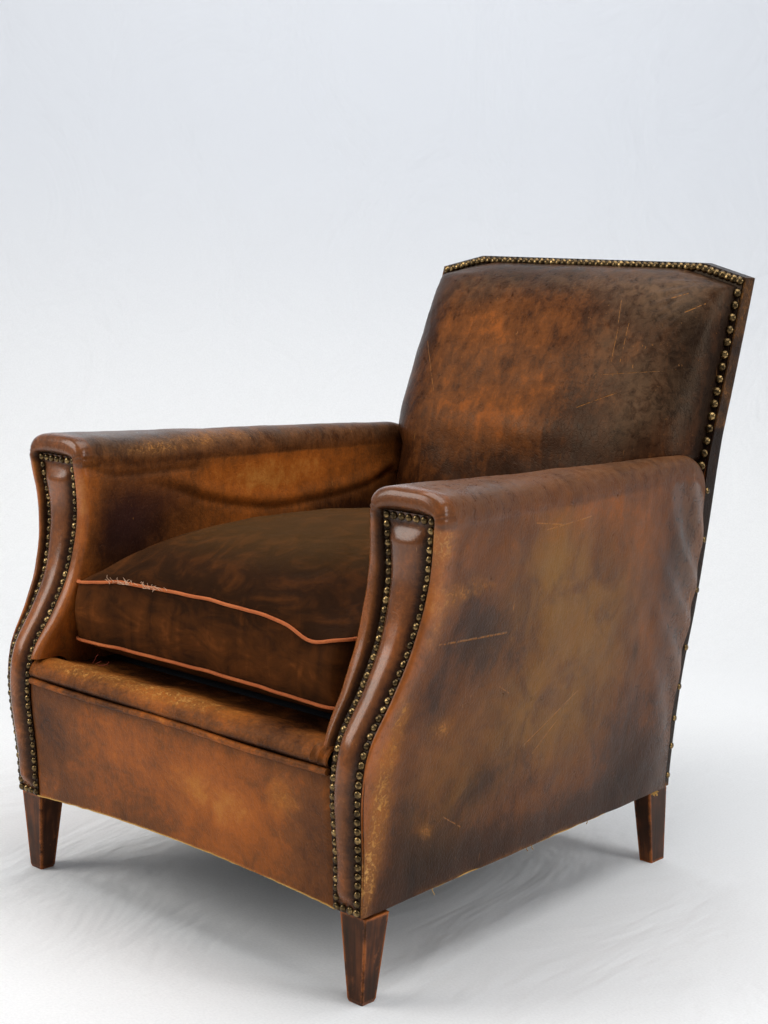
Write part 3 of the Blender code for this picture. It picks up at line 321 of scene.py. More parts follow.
def cord(name, points, radius, finish, cyclic=False, sides=3):
    """A round bead or thread along points in the chair's own places."""
    curve = bpy.data.curves.new(name, "CURVE")
    curve.dimensions = "3D"
    spline = curve.splines.new("POLY")
    points = into_frame(points)
    spline.points.add(len(points) - 1)
    for point, place in zip(spline.points, points):
        point.co = (*place, 1.0)
    spline.use_cyclic_u = cyclic
    curve.bevel_depth = radius
    curve.bevel_resolution = sides
    curve.use_fill_caps = True
    curve.materials.append(finish)
    made = bpy.data.objects.new(name, curve)
    bpy.context.collection.objects.link(made)
    return made


# Materials

def tone(red, green, blue):
    """A colour as it reads on a screen, from 0 to 255, as the shader wants it."""
    def linear(value):
        value /= 255
        return value / 12.92 if value <= 0.04045 else ((value + 0.055) / 1.055) ** 2.4

    return (linear(red), linear(green), linear(blue), 1.0)


class Finish:
    """A material and short ways to add and join its nodes."""

    def __init__(self, name):
        self.material = bpy.data.materials.new(name)
        self.material.use_nodes = True
        self.tree = self.material.node_tree
        self.shader = self.tree.nodes["Principled BSDF"]
        self.place = self.node("ShaderNodeTexCoord").outputs["Object"]

    def node(self, kind, **values):
        made = self.tree.nodes.new(kind)
        for key, value in values.items():
            setattr(made, key, value)
        return made

    def link(self, source, socket):
        if isinstance(source, (int, float, tuple)):
            socket.default_value = source
        else:
            self.tree.links.new(source, socket)

    def put(self, name, source):
        self.link(source, self.shader.inputs[name])

    def scaled(self, factors, turn=(0.0, 0.0, 0.0)):
        made = self.node("ShaderNodeMapping")
        self.link(self.place, made.inputs["Vector"])
        made.inputs["Scale"].default_value = factors
        made.inputs["Rotation"].default_value = turn
        return made.outputs["Vector"]

    def noise(self, scale, detail=3.0, rough=0.55, where=None, twist=0.0):
        made = self.node("ShaderNodeTexNoise")
        self.link(where or self.place, made.inputs["Vector"])
        made.inputs["Scale"].default_value = scale
        made.inputs["Detail"].default_value = detail
        made.inputs["Roughness"].default_value = rough
        made.inputs["Distortion"].default_value = twist
        return made.outputs["Fac"]

    def cells(self, scale, feature="F1", where=None):
        made = self.node("ShaderNodeTexVoronoi", feature=feature)
        self.link(where or self.place, made.inputs["Vector"])
        made.inputs["Scale"].default_value = scale
        return made.outputs["Distance"]

    def math(self, operation, a, b=0.0, c=0.0):
        made = self.node("ShaderNodeMath", operation=operation)
        for socket, value in zip(made.inputs, (a, b, c)):
            self.link(value, socket)
        return made.outputs["Value"]

    def limit(self, value, low, high, to_low=0.0, to_high=1.0):
        made = self.node("ShaderNodeMapRange", interpolation_type="SMOOTHSTEP")
        for name, x in (("Value", value), ("From Min", low), ("From Max", high), ("To Min", to_low), ("To Max", to_high)):
            self.link(x, made.inputs[name])
        return made.outputs["Result"]

    def ramp(self, value, stops):
        made = self.node("ShaderNodeValToRGB")
        self.link(value, made.inputs["Fac"])
        elements = made.color_ramp.elements
        while len(elements) < len(stops):
            elements.new(1.0)
        for element, (spot, colour) in zip(elements, stops):
            element.position = spot
            element.color = colour
        return made.outputs["Color"]

    def blend(self, share, a, b, kind="MIX"):
        made = self.node("ShaderNodeMix", data_type="RGBA", blend_type=kind)
        self.link(share, made.inputs["Factor"])
        self.link(a, made.inputs["A"] if made.inputs["A"].type == "RGBA" else made.inputs[6])
        self.link(b, made.inputs["B"] if made.inputs["B"].type == "RGBA" else made.inputs[7])
        return made.outputs[2]

    def near_line(self, start, end, width, flatten):
        """1 on a straight line between two places of the chair, 0 beyond its width."""
        flat = Vector(flatten)
        a = Vector(start) + Vector((0.0, FRONT, 0.0))
        b = Vector(end) + Vector((0.0, FRONT, 0.0))
        a, way = a * flat, (b - a) * flat
        spot = self.vector("MULTIPLY", self.place, tuple(flat))
        off = self.vector("SUBTRACT", spot, tuple(a))
        along = self.node("ShaderNodeVectorMath", operation="DOT_PRODUCT")
        self.link(off, along.inputs[0])
        along.inputs[1].default_value = way / way.length_squared
        share = self.math("MINIMUM", self.math("MAXIMUM", along.outputs["Value"], 0.0), 1.0)
        reach = self.node("ShaderNodeVectorMath", operation="SCALE")
        reach.inputs[0].default_value = way
        self.link(share, reach.inputs["Scale"])
        gap = self.node("ShaderNodeVectorMath", operation="DISTANCE")
        self.link(off, gap.inputs[0])
        self.link(reach.outputs["Vector"], gap.inputs[1])
        return self.limit(gap.outputs["Value"], width, width * 0.3)

    def vector(self, operation, a, b):
        made = self.node("ShaderNodeVectorMath", operation=operation)
        self.link(a, made.inputs[0])
        self.link(b, made.inputs[1])
        return made.outputs["Vector"]

    def painted(self, name):
        made = self.node("ShaderNodeAttribute", attribute_name=name)
        return made.outputs["Fac"]

    def bump(self, height, distance, strength=1.0, after=None):
        made = self.node("ShaderNodeBump")
        made.inputs["Distance"].default_value = distance
        made.inputs["Strength"].default_value = strength
        self.link(height, made.inputs["Height"])
        if after is not None:
            self.link(after, made.inputs["Normal"])
        return made.outputs["Normal"]


BLACK_LEATHER = tone(25, 13, 8)
DARK_LEATHER = tone(60, 32, 16)
MID_LEATHER = tone(114, 64, 28)
ORANGE_LEATHER = tone(168, 90, 32)
TAN_LEATHER = tone(202, 132, 60)
PALE_LEATHER = tone(220, 168, 96)
OLIVE_LEATHER = tone(134, 92, 34)
# Colour of the painted sheen
PAINTED_SHEEN_COLOUR = tone(114, 86, 62)
VIOLET_LEATHER = tone(60, 34, 30)
WAX_TINT = (1.0, 0.72, 0.48, 1.0)


def leather(name, base=0.40, spread=0.55, gloss=0.34, grain=1.0, streak=0.0, scratches=()):
    """Old aniline leather. Painted layers: warm (with painted fill light), scuff, grime (dirt and painted shade), gold,
    grey (a painted sheen), violet, crease (painted shade and marks), gloss.
    """
    f = Finish(name)
    broad = f.noise(4.5, 2.0, 0.5, twist=0.5)
    cloudy = f.noise(15.0, 5.0, 0.60, twist=0.9)
    mottled = f.noise(70.0, 5.0, 0.68, twist=0.5)
    fine = f.noise(330.0, 3.0, 0.65)
    shade = f.math("MULTIPLY_ADD", f.math("SUBTRACT", broad, 0.5), spread * 0.8, base)
    shade = f.math("MULTIPLY_ADD", f.math("SUBTRACT", cloudy, 0.5), spread * 0.95, shade)
    shade = f.math("MULTIPLY_ADD", f.math("SUBTRACT", mottled, 0.5), spread * 0.85, shade)
    shade = f.math("MULTIPLY_ADD", f.math("SUBTRACT", fine, 0.5), spread * 0.40, shade)
    if streak:
        drawn = f.noise(1.0, 5.0, 0.62, f.scaled((52.0, 52.0, 10.0), (0.0, 0.12, 0.1)), twist=0.7)
        shade = f.math("MULTIPLY_ADD", f.math("SUBTRACT", drawn, 0.5), streak, shade)
    # Lifts the tone: warmer wear and tone, and painted fill light on the arms' inner faces
    shade = f.math("MULTIPLY_ADD", f.painted("warm"), 0.36, shade)
    # Darkens the tone: dirt, and painted shade at joints, in recesses and round the nail heads
    shade = f.math("MULTIPLY_ADD", f.painted("grime"), -0.40, shade)
    colour = f.ramp(shade, [
        (0.04, BLACK_LEATHER), (0.28, DARK_LEATHER), (0.50, MID_LEATHER),
        (0.72, ORANGE_LEATHER), (0.97, TAN_LEATHER),
    ])
    gold = f.math("MULTIPLY", f.painted("gold"), f.limit(cloudy, 0.32, 0.62, 0.25, 1.0))
    colour = f.blend(gold, colour, OLIVE_LEATHER)
    # Painted sheen: a greyish highlight laid over the tone, broken up by the mottling
    grey = f.math("MULTIPLY", f.painted("grey"), f.limit(mottled, 0.34, 0.62, 0.25, 1.0))
    colour = f.blend(grey, colour, PAINTED_SHEEN_COLOUR)
    colour = f.blend(f.painted("violet"), colour, VIOLET_LEATHER)

    # Scuffs break up into the flecks that rubbing leaves
    flecks = f.limit(f.noise(150.0, 6.0, 0.74, twist=1.2), 0.50, 0.60)
    rubbed = f.limit(f.math("MULTIPLY_ADD", f.painted("scuff"), 1.15, f.math("SUBTRACT", cloudy, 0.62)), 0.05, 0.80)
    worn = f.math("MULTIPLY", rubbed, f.math("MULTIPLY_ADD", flecks, 0.60, 0.22))
    colour = f.blend(worn, colour, TAN_LEATHER)
    bare = f.math("MULTIPLY", f.limit(f.painted("scuff"), 0.40, 1.0), flecks)
    colour = f.blend(f.math("MULTIPLY", bare, 0.65), colour, PALE_LEATHER)
    specks = f.limit(f.noise(240.0, 3.0, 0.75, twist=0.4), 0.66, 0.72)
    specks = f.math("MULTIPLY", specks, f.limit(cloudy, 0.46, 0.62))
    colour = f.blend(f.math("MULTIPLY", specks, 0.40), colour, TAN_LEATHER)

    # Hairlines everywhere, and the few long scratches, each at its place
    lines = None
    for turn, scale in ((0.5, 20.0), (-0.9, 15.0), (1.35, 24.0)):
        where = f.scaled((scale * 11.0, scale * 11.0, scale * 0.7), (turn, turn * 0.6, turn))
        hair = f.limit(f.noise(1.0, 2.0, 0.5, where), 0.72, 0.77)
        lines = hair if lines is None else f.math("MAXIMUM", lines, hair)
    scratch = f.math("MULTIPLY", lines, f.limit(f.noise(9.0, 2.0), 0.48, 0.66))
    broken = f.limit(f.noise(210.0, 3.0, 0.7), 0.40, 0.56)
    for start, end, width, flatten in scratches:
        mark = f.math("MULTIPLY", f.near_line(start, end, width, flatten), broken)
        scratch = f.math("MAXIMUM", scratch, mark)
    colour = f.blend(f.math("MULTIPLY", scratch, 0.45), colour, TAN_LEATHER)
    # Painted shade along creases and pleats, and a few small dark marks
    colour = f.blend(f.math("MULTIPLY", f.painted("crease_shade_and_marks"), 0.80), colour, BLACK_LEATHER)
    f.put("Base Color", colour)

    rough = f.math("MULTIPLY_ADD", f.math("SUBTRACT", mottled, 0.5), 0.35, gloss)
    rough = f.math("MULTIPLY_ADD", worn, 0.30, rough)
    rough = f.math("MULTIPLY_ADD", f.painted("gloss"), -0.10, rough)
    f.put("Roughness", f.math("MINIMUM", f.math("MAXIMUM", rough, 0.17), 0.9))
    f.shader.inputs["Specular IOR Level"].default_value = 0.17
    f.shader.inputs["Specular Tint"].default_value = WAX_TINT
    f.put("Coat Weight", f.math("MULTIPLY", f.painted("gloss"), 0.75))
    f.shader.inputs["Coat Roughness"].default_value = 0.20

    pores = f.math("POWER", f.cells(560.0), 0.7)
    wrinkles = f.cells(130.0, "DISTANCE_TO_EDGE", f.scaled((1.0, 1.5, 0.7), (0.3, 0.5, 0.2)))
    cracks = f.limit(wrinkles, 0.0, 0.06)
    surface = f.bump(fine, 0.0004 * grain)
    surface = f.bump(pores, 0.00025 * grain, 0.8, surface)
    surface = f.bump(cracks, 0.00030 * grain, 0.5, surface)
    surface = f.bump(f.math("MULTIPLY", worn, -1.0), 0.0005, 1.0, surface)
    surface = f.bump(f.math("MULTIPLY", scratch, -1.0), 0.0004, 1.0, surface)
    surface = f.bump(mottled, 0.0012 * grain, 0.5, surface)
    f.put("Normal", surface)
    return f.material


def velvet(name):
    f = Finish(name)
    nap = f.noise(16.0, 4.0, 0.6, f.scaled((1.0, 0.55, 2.2), (0.0, 0.3, 0.5)), twist=1.2)
    streaks = f.noise(1.0, 3.0, 0.55, f.scaled((38.0, 38.0, 9.0), (0.25, 0.1, 0.2)), twist=0.8)
    shade = f.math("MULTIPLY_ADD", f.math("SUBTRACT", nap, 0.5), 0.9, 0.42)
    shade = f.math("MULTIPLY_ADD", f.math("SUBTRACT", streaks, 0.5), 0.5, shade)
    shade = f.math("MULTIPLY_ADD", f.painted("warm"), 0.5, shade)
    colour = f.ramp(shade, [
        (0.0, tone(22, 12, 5)), (0.42, tone(46, 25, 9)), (0.72, tone(82, 44, 16)), (1.0, tone(128, 70, 28)),
    ])
    colour = f.blend(f.painted("gold"), colour, tone(92, 68, 28))
    f.put("Base Color", colour)
    f.shader.inputs["Roughness"].default_value = 0.85
    f.shader.inputs["Specular IOR Level"].default_value = 0.06
    f.shader.inputs["Sheen Weight"].default_value = 0.16
    f.shader.inputs["Sheen Roughness"].default_value = 0.38
    f.shader.inputs["Sheen Tint"].default_value = tone(200, 122, 52)
    pile = f.noise(900.0, 2.0, 0.6)
    surface = f.bump(pile, 0.0006, 0.7)
    surface = f.bump(streaks, 0.0014, 0.5, surface)
    surface = f.bump(nap, 0.0030, 0.5, surface)
    f.put("Normal", surface)
    return f.material


def brass(name):
    f = Finish(name)
    patch = f.noise(260.0, 3.0, 0.6)
    tarnish = f.noise(60.0, 3.0, 0.6)
    shade = f.math("MULTIPLY_ADD", f.math("SUBTRACT", patch, 0.5), 0.9, tarnish)
    f.put("Base Color", f.ramp(shade, [
        (0.25, tone(38, 30, 20)), (0.52, tone(100, 80, 50)), (0.80, tone(184, 152, 100)),
    ]))
    f.shader.inputs["Metallic"].default_value = 0.9
    f.put("Roughness", f.math("MULTIPLY_ADD", patch, 0.20, 0.12))
    f.put("Normal", f.bump(f.noise(900.0, 2.0), 0.0002, 0.5))
    return f.material


def wood(name, dark=True):
    """Stained beech, worn through to the bare wood on its arrises."""
    f = Finish(name)
    rings = f.noise(1.0, 4.0, 0.6, f.scaled((150.0, 150.0, 9.0)), twist=0.5)
    blotch = f.noise(22.0, 3.0)
    shade = f.math("MULTIPLY_ADD", f.math("SUBTRACT", rings, 0.5), 0.8, blotch)
    if dark:
        colour = f.ramp(shade, [(0.2, tone(26, 12, 7)), (0.52, tone(58, 28, 15)), (0.80, tone(104, 56, 28))])
    else:
        colour = f.ramp(shade, [(0.2, tone(140, 104, 66)), (0.55, tone(176, 138, 92)), (0.85, tone(196, 160, 112))])
    edge = f.node("ShaderNodeBevel", samples=6)
    edge.inputs["Radius"].default_value = 0.0055
    facing = f.node("ShaderNodeNewGeometry").outputs["Normal"]
    dot = f.node("ShaderNodeVectorMath", operation="DOT_PRODUCT")
    f.link(edge.outputs["Normal"], dot.inputs[0])
    f.link(facing, dot.inputs[1])
    arris = f.limit(dot.outputs["Value"], 0.997, 0.965)
    if dark:
        chafed = f.noise(45.0, 5.0, 0.68)
        rub = f.math("MULTIPLY", arris, f.limit(chafed, 0.38, 0.56))
        colour = f.blend(rub, colour, tone(176, 98, 44))
        colour = f.blend(f.limit(chafed, 0.60, 0.70, 0.0, 0.55), colour, tone(132, 74, 38))
        f.shader.inputs["Specular IOR Level"].default_value = 0.30
        f.shader.inputs["Specular Tint"].default_value = WAX_TINT
    f.put("Base Color", colour)
    f.put("Roughness", f.math("MULTIPLY_ADD", rings, 0.25, 0.30 if dark else 0.55))
    f.put("Normal", f.bump(rings, 0.0005, 0.5))
    return f.material


def weave(name, thread, dark, light, sheen=0.0):
    """A plain woven cloth with threads of the given width."""
    f = Finish(name)
    across = f.node("ShaderNodeTexWave", wave_type="BANDS", bands_direction="X")
    down = f.node("ShaderNodeTexWave", wave_type="BANDS", bands_direction="Y")
    for made in (across, down):
        f.link(f.place, made.inputs["Vector"])
        made.inputs["Scale"].default_value = 0.32 / thread
        made.inputs["Distortion"].default_value = 0.6
        made.inputs["Detail"].default_value = 1.0
    cloth = f.math("MULTIPLY", across.outputs["Fac"], down.outputs["Fac"])
    shade = f.math("MULTIPLY_ADD", f.noise(30.0, 4.0), 0.7, f.math("MULTIPLY", cloth, 0.4))
    f.put("Base Color", f.ramp(shade, [(0.2, dark), (0.8, light)]))
    f.shader.inputs["Roughness"].default_value = 0.92
    f.shader.inputs["Sheen Weight"].default_value = sheen
    f.put("Normal", f.bump(cloth, thread * 0.5, 0.8))
    return f.material


def fibre(name, dark, light):
    f = Finish(name)
    strands = f.noise(1.0, 4.0, 0.7, f.scaled((320.0, 90.0, 320.0), (0.4, 0.7, 0.2)), twist=1.5)
    f.put("Base Color", f.ramp(strands, [(0.3, dark), (0.7, light)]))
    f.shader.inputs["Roughness"].default_value = 0.95
    f.put("Normal", f.bump(strands, 0.002, 0.9))
    return f.material


def steel(name):
    f = Finish(name)
    rust = f.noise(140.0, 4.0, 0.65)
    f.put("Base Color", f.ramp(rust, [(0.35, tone(72, 66, 60)), (0.62, tone(110, 62, 36))]))
    f.put("Metallic", f.limit(rust, 0.62, 0.45))
    f.put("Roughness", f.math("MULTIPLY_ADD", rust, 0.5, 0.3))
    return f.material


LAYERS = ("warm", "scuff", "grime", "gold", "grey", "violet", "crease_shade_and_marks", "gloss")


def paint_layers(piece, **layers):
    count = len(piece.data.vertices)
    for name in LAYERS:
        paint(piece, name, layers.get(name, np.zeros(count)))


# Arms

INNER_ROWS, CROWN_ROWS, OUTER_ROWS = 66, 48, 78
FLANGE_COLUMNS, ROLL_COLUMNS, ARM_COLUMNS = 3, 16, 138


def arm_point(kind, value, y):
    """A point of the arm's surface behind its front roll."""
    top = crown_z(y)
    drop = ARM_HEIGHT - ARM_SLOPE * y - top
    shoulder = ARM_SHOULDER - drop
    if kind == "crown":
        angle = pi * (1 - value)
        low = arm_point("inner", ARM_SHOULDER, y)[0]
        high = arm_point("outer", ARM_SHOULDER, y)[0]
        boxy = 1 - 0.30 * (1 - ease((y - 0.06) / 0.16))
        across = mix(low, high, 0.5 + 0.5 * np.sign(cos(angle)) * abs(cos(angle)) ** (0.75 * boxy))
        return (across, y, shoulder + (top - shoulder) * sin(angle) ** (0.8 * boxy))
    lower = value - drop * ease((value - 0.420) / (ARM_SHOULDER - 0.420))
    if kind == "inner":
        s = min(max((y - 0.05) / 0.30, 0.0), 1.0)
        sunk = 0.016 * ease((y - 0.015) / 0.03) * ease((0.325 - value) / 0.03)
        return (mix(smooth(ROLL_EDGE_INNER, value), ARM_INNER, s), y, lower - sunk)
    return (side_x(y, value), y, lower)


def arm_stations():
    rows = [("inner", mix(0.2925, ARM_SHOULDER, k / INNER_ROWS)) for k in range(INNER_ROWS)]
    rows += [("crown", ease(k / CROWN_ROWS) * 0.5 + k / CROWN_ROWS * 0.5) for k in range(CROWN_ROWS + 1)]
    return rows + [("outer", mix(ARM_SHOULDER, SKIRT_BOTTOM, k / OUTER_ROWS)) for k in range(1, OUTER_ROWS + 1)]


def arm_end_y(kind, value):
    if kind == "outer":
        return side_seam_y(value) - 0.0015
    inner = 0.6900
    if kind == "inner":
        return inner
    return mix(inner, side_seam_y(0.5) - 0.0015, value)


def arm_front(kind, value):
    """Nail point, way out from the strip, roll edge and panel y of a station's front."""
    left, right = smooth(NAIL_LINE_INNER, STRIP_TOP), smooth(NAIL_LINE_OUTER, STRIP_TOP)
    top = STRIP_TOP - NAIL_RADIUS
    if kind == "crown":
        x, _, z = arm_point(kind, value, panel_y(STRIP_TOP) + ROLL_DEPTH)
        corner = 0.10
        if value < corner:
            turn = pi / 2 * value / corner
            nail, way = (left, top), (-cos(turn), sin(turn))
        elif value > 1 - corner:
            turn = pi / 2 * (1 - value) / corner
            nail, way = (right, top), (cos(turn), sin(turn))
        else:
            nail, way = (mix(left, right, (value - corner) / (1 - 2 * corner)), top), (0.0, 1.0)
        return nail, way, (x, z), panel_y(STRIP_TOP)
    y = panel_y(value)
    edge = (arm_point(kind, value, y + ROLL_DEPTH)[0], value)
    if kind == "inner":
        return (smooth(NAIL_LINE_INNER, value), min(value, top)), (-1.0, 0.0), edge, y
    return (smooth(NAIL_LINE_OUTER, value), min(value, top)), (1.0, 0.0), edge, y


def arm_row(kind, value):
    """One station's points, from under the facing strip, round the front roll, to the back."""
    (nx, nz), (ux, uz), (ex, ez), y = arm_front(kind, value)
    row = []
    for k in range(FLANGE_COLUMNS):
        lap = mix(-FLANGE_LAP, FLANGE_LAP * 0.8, k / (FLANGE_COLUMNS - 1))
        row.append((nx + ux * lap, panel_y(nz + uz * lap) + FLANGE_SET, nz + uz * lap))
    sx, _, sz = row[-1]
    room = hypot(ex - sx, ez - sz)
    bulge = mix(-FLANGE_SET * 0.4, ROLL_BULGE, ease(room / 0.016))
    peak = 0.38
    for k in range(1, ROLL_COLUMNS + 1):
        share = k / ROLL_COLUMNS
        if share <= peak:
            depth = mix(FLANGE_SET, -bulge, sin(pi / 2 * share / peak))
        else:
            round_off = (share - peak) / (1 - peak)
            depth = -bulge + (bulge + ROLL_DEPTH) * (1 - sqrt(max(0.0, 1 - round_off**2.2)))
        across = share if share <= peak else mix(peak, 1.0, sin(pi / 2 * (share - peak) / (1 - peak)))
        row.append((mix(sx, ex, across), y + depth, mix(sz, ez, across)))
    start, end = y + ROLL_DEPTH, arm_end_y(kind, value)
    for k in range(1, ARM_COLUMNS + 1):
        s = k / ARM_COLUMNS
        row.append(arm_point(kind, value, mix(start, end, mix(s, ease(s), 0.35))))
    return row


INNER_CREASE = [
    (0.120, 0.512), (0.160, 0.506), (0.208, 0.494), (0.245, 0.480), (0.301, 0.467), (0.359, 0.458),
    (0.399, 0.454), (0.460, 0.458), (0.524, 0.462), (0.590, 0.472), (0.640, 0.490),
]
INNER_FOLD = [(0.062, 0.531), (0.090, 0.522), (0.125, 0.519), (0.180, 0.521), (0.240, 0.522)]


def arm(side):
    """The leather of one arm, from the strip's edge over the roll and the crown to the back."""
    name = "left" if side < 0 else "right"
    grid = np.array([arm_row(kind, value) for kind, value in arm_stations()])
    shape = grid.shape
    normals = grid_normals(grid)
    flat = grid.reshape(-1, 3)
    column = np.tile(np.arange(shape[1]), shape[0])
    row = np.repeat(np.arange(shape[0]), shape[1])
    front_columns = FLANGE_COLUMNS + ROLL_COLUMNS
    inner = row < INNER_ROWS
    crown = (row >= INNER_ROWS) & (row <= INNER_ROWS + CROWN_ROWS)
    outer = row > INNER_ROWS + CROWN_ROWS
    body = column >= front_columns
    free = np.clip((column - FLANGE_COLUMNS) / 10, 0, 1)
    y, z = flat[:, 1], flat[:, 2]

    push = np.array([
        0.0016 * lumps(p, 0.090, side) + 0.0007 * lumps(p, 0.030, 2 * side) + 0.00025 * lumps(p, 0.011, 3 * side)
        for p in flat
    ])
    pairs = np.stack([y, z], axis=1)
    # Painted shade along the creases and pleats that are pushed into the leather below; the near side's small dark
    # marks join it
    crease_shade_and_marks = np.zeros(len(flat))
    if side < 0:
        away = to_line(pairs, INNER_CREASE)
        hang = bell(away - 0.012, 0.010) * (z > np.interp(y, *zip(*INNER_CREASE)))
        ends = ease_array((y - 0.130) / 0.12)
        push += inner * body * ends * (0.0028 * hang - 0.0026 * bell(away, 0.0055))
        crease_shade_and_marks += inner * body * 0.34 * ends * bell(away, 0.0036)
        fold = to_line(pairs, INNER_FOLD)
        push -= inner * 0.0016 * bell(fold, 0.0025)
        crease_shade_and_marks += inner * 0.30 * bell(fold, 0.0028)
    else:
        away = to_line(pairs, [(0.140, 0.500), (0.300, 0.475), (0.460, 0.468), (0.600, 0.480)])
        push += inner * body * (0.0025 * bell(away - 0.012, 0.010) - 0.0030 * bell(away, 0.0045))
        crease_shade_and_marks += inner * body * 0.7 * bell(away, 0.0028)
    # Soft pulls where the side leather is strained towards the back post
    strain = np.sin((y * 0.82 + z * 0.57) * 105 + 2.2 * np.sin(z * 17)) * bell(y - 0.665, 0.075)
    push += outer * 0.0020 * strain * np.clip((z - 0.15) / 0.1, 0, 1)
    # Pleats where the roll turns the strip's top corners
    for corner in (0.055, 0.945):
        k0 = INNER_ROWS + corner * CROWN_ROWS
        for shift, depth in ((-2.6, 0.0011), (0.0, 0.0016), (2.7, 0.0012)):
            pleat = bell(row - k0 - shift, 0.75) * bell(column - front_columns * 0.62, 6.0)
            push -= depth * pleat
            crease_shade_and_marks += 0.55 * pleat
    push *= free
    moved = (grid + (push.reshape(shape[:2]) * free.reshape(shape[:2]))[..., None] * normals).reshape(-1, 3)
    grid = moved.reshape(shape)
    inside = grid - grid_normals(grid) * LEATHER
    mirror = np.array([side, 1.0, 1.0])
    made = skin("arm_leather_" + name, grid * mirror, LEATHER, LEATHERS["arm_" + name], 1, inside * mirror)

    points = np.abs(flat) * np.array([1.0, 0.0, 1.0]) + flat * np.array([0.0, 1.0, 0.0])
    roll = bell(column - (FLANGE_COLUMNS + ROLL_COLUMNS * 0.62), ROLL_COLUMNS * 0.36)
    warm = 0.46 * roll * (1 - 0.5 * crown)
    # Painted shade where the leather runs under the facing strip; darker towards the bottom of the side, and over the
    # crest of the crown, more on the far arm
    grime = 0.85 * bell(column - FLANGE_COLUMNS, 2.4) + 0.35 * outer * np.clip((0.17 - z) / 0.06, 0, 1)
    crest = np.clip(np.sin(pi * np.clip((row - INNER_ROWS) / CROWN_ROWS, 0, 1)) * 1.25, 0, 1)
    grime = grime + (0.30 if side < 0 else 0.05) * crown * body * crest
    # Painted fill light: the arms' inner faces are lifted against the shade of the seat's hollow
    warm = warm + 0.14 * inner * body
    # Painted sheen over the crest of the crown, and on the side towards its rear end
    grey = crown * body * 0.38 * crest
    gloss = 0.9 * bell(column - (FLANGE_COLUMNS + ROLL_COLUMNS * 0.60), ROLL_COLUMNS * 0.34)
    grey = grey + 0.30 * outer * np.clip((y - 0.60) / 0.08, 0, 1)
    gloss *= 0.4 + 0.6 * np.clip((z - 0.22) / 0.08, 0, 1)
    gloss = gloss + 0.45 * outer * np.clip((y - 0.58) / 0.06, 0, 1) + 0.40 * crown * bell(y - 0.14, 0.12)
    scuff = np.zeros(len(flat))
    gold = np.zeros(len(flat))
    violet = np.zeros(len(flat))
    if side > 0:
        scuff += outer * blots(points, NEAR_SCUFFS)
        gold += outer * blots(points, NEAR_GOLD)
        grime += outer * blots(points, NEAR_DARK)
        warm += outer * blots(points, NEAR_WARM)
        for spot, radii, strength in NEAR_MARKS:
            crease_shade_and_marks += outer * strength * blots(points, [(spot, radii, 1.0)])
    else:
        warm += inner * blots(points, FAR_WARM)
        grime += (inner | crown) * blots(points, FAR_DARK)
        violet += inner * blots(points, FAR_VIOLET)
        scuff += (inner | crown) * blots(points, FAR_SCUFFS)
        scuff += outer * blots(points, NEAR_SCUFFS) * 0.6
        gold += outer * blots(points, NEAR_GOLD) * 0.6
        warm += outer * blots(points, NEAR_WARM) * 0.7
    layers = {"warm": warm, "scuff": scuff, "grime": grime, "gold": gold, "grey": grey, "violet": violet, "crease_shade_and_marks": crease_shade_and_marks,
              "gloss": gloss}
    paint_layers(made, **{key: np.concatenate([values, values]) for key, values in layers.items()})
    settle(made, "arm_cover_" + name, "arm_stuffing_" + name, "outer_arm_lining_" + name, slot="brown_leather", fill=0.8)
    return made


# Wear of the near side, the far arm's inside and the back, each at its real spot
NEAR_SCUFFS = [
    ((0.350, 0.045, 0.515), (0.03, 0.030, 0.040), 0.75), ((0.338, 0.100, 0.458), (0.03, 0.060, 0.018), 0.55),
    ((0.311, 0.012, 0.238), (0.03, 0.022, 0.070), 0.75), ((0.305, 0.000, 0.150), (0.03, 0.014, 0.040), 0.95),
    ((0.311, 0.107, 0.298), (0.03, 0.022, 0.018), 0.55), ((0.320, 0.030, 0.330), (0.03, 0.016, 0.040), 0.55),
    ((0.300, 0.100, 0.180), (0.03, 0.016, 0.012), 0.50), ((0.290, 0.300, 0.109), (0.03, 0.300, 0.003), 0.80),
    ((0.335, 0.060, 0.420), (0.03, 0.020, 0.030), 0.45),
]
NEAR_GOLD = [
    ((0.317, 0.300, 0.450), (0.05, 0.080, 0.075), 0.80), ((0.295, 0.330, 0.290), (0.05, 0.140, 0.085), 0.70),
    ((0.295, 0.434, 0.400), (0.05, 0.080, 0.080), 0.45), ((0.300, 0.130, 0.230), (0.05, 0.070, 0.060), 0.30),
]
NEAR_DARK = [
    ((0.330, 0.150, 0.400), (0.05, 0.070, 0.045), 0.50), ((0.320, 0.080, 0.330), (0.05, 0.045, 0.035), 0.35),
    ((0.302, 0.120, 0.150), (0.05, 0.080, 0.040), 0.60), ((0.298, 0.180, 0.215), (0.05, 0.060, 0.030), 0.35),
    ((0.281, 0.560, 0.160), (0.05, 0.120, 0.050), 0.45), ((0.300, 0.300, 0.130), (0.05, 0.200, 0.030), 0.35),
    ((0.312, 0.060, 0.190), (0.05, 0.035, 0.080), 0.30), ((0.284, 0.640, 0.420), (0.05, 0.060, 0.120), 0.35),
]
NEAR_WARM = [
    ((0.313, 0.400, 0.525), (0.05, 0.170, 0.040), 0.32), ((0.293, 0.518, 0.467), (0.05, 0.080, 0.050), 0.30),
    ((0.345, 0.030, 0.500), (0.05, 0.030, 0.070), 0.50), ((0.312, 0.010, 0.250), (0.05, 0.030, 0.120), 0.45),
]
NEAR_MARKS = [
    ((0.284, 0.529, 0.320), (0.05, 0.010, 0.017), 0.85), ((0.329, 0.055, 0.385), (0.05, 0.0022, 0.0022), 1.0),
    ((0.329, 0.062, 0.380), (0.05, 0.0020, 0.0020), 1.0),
]
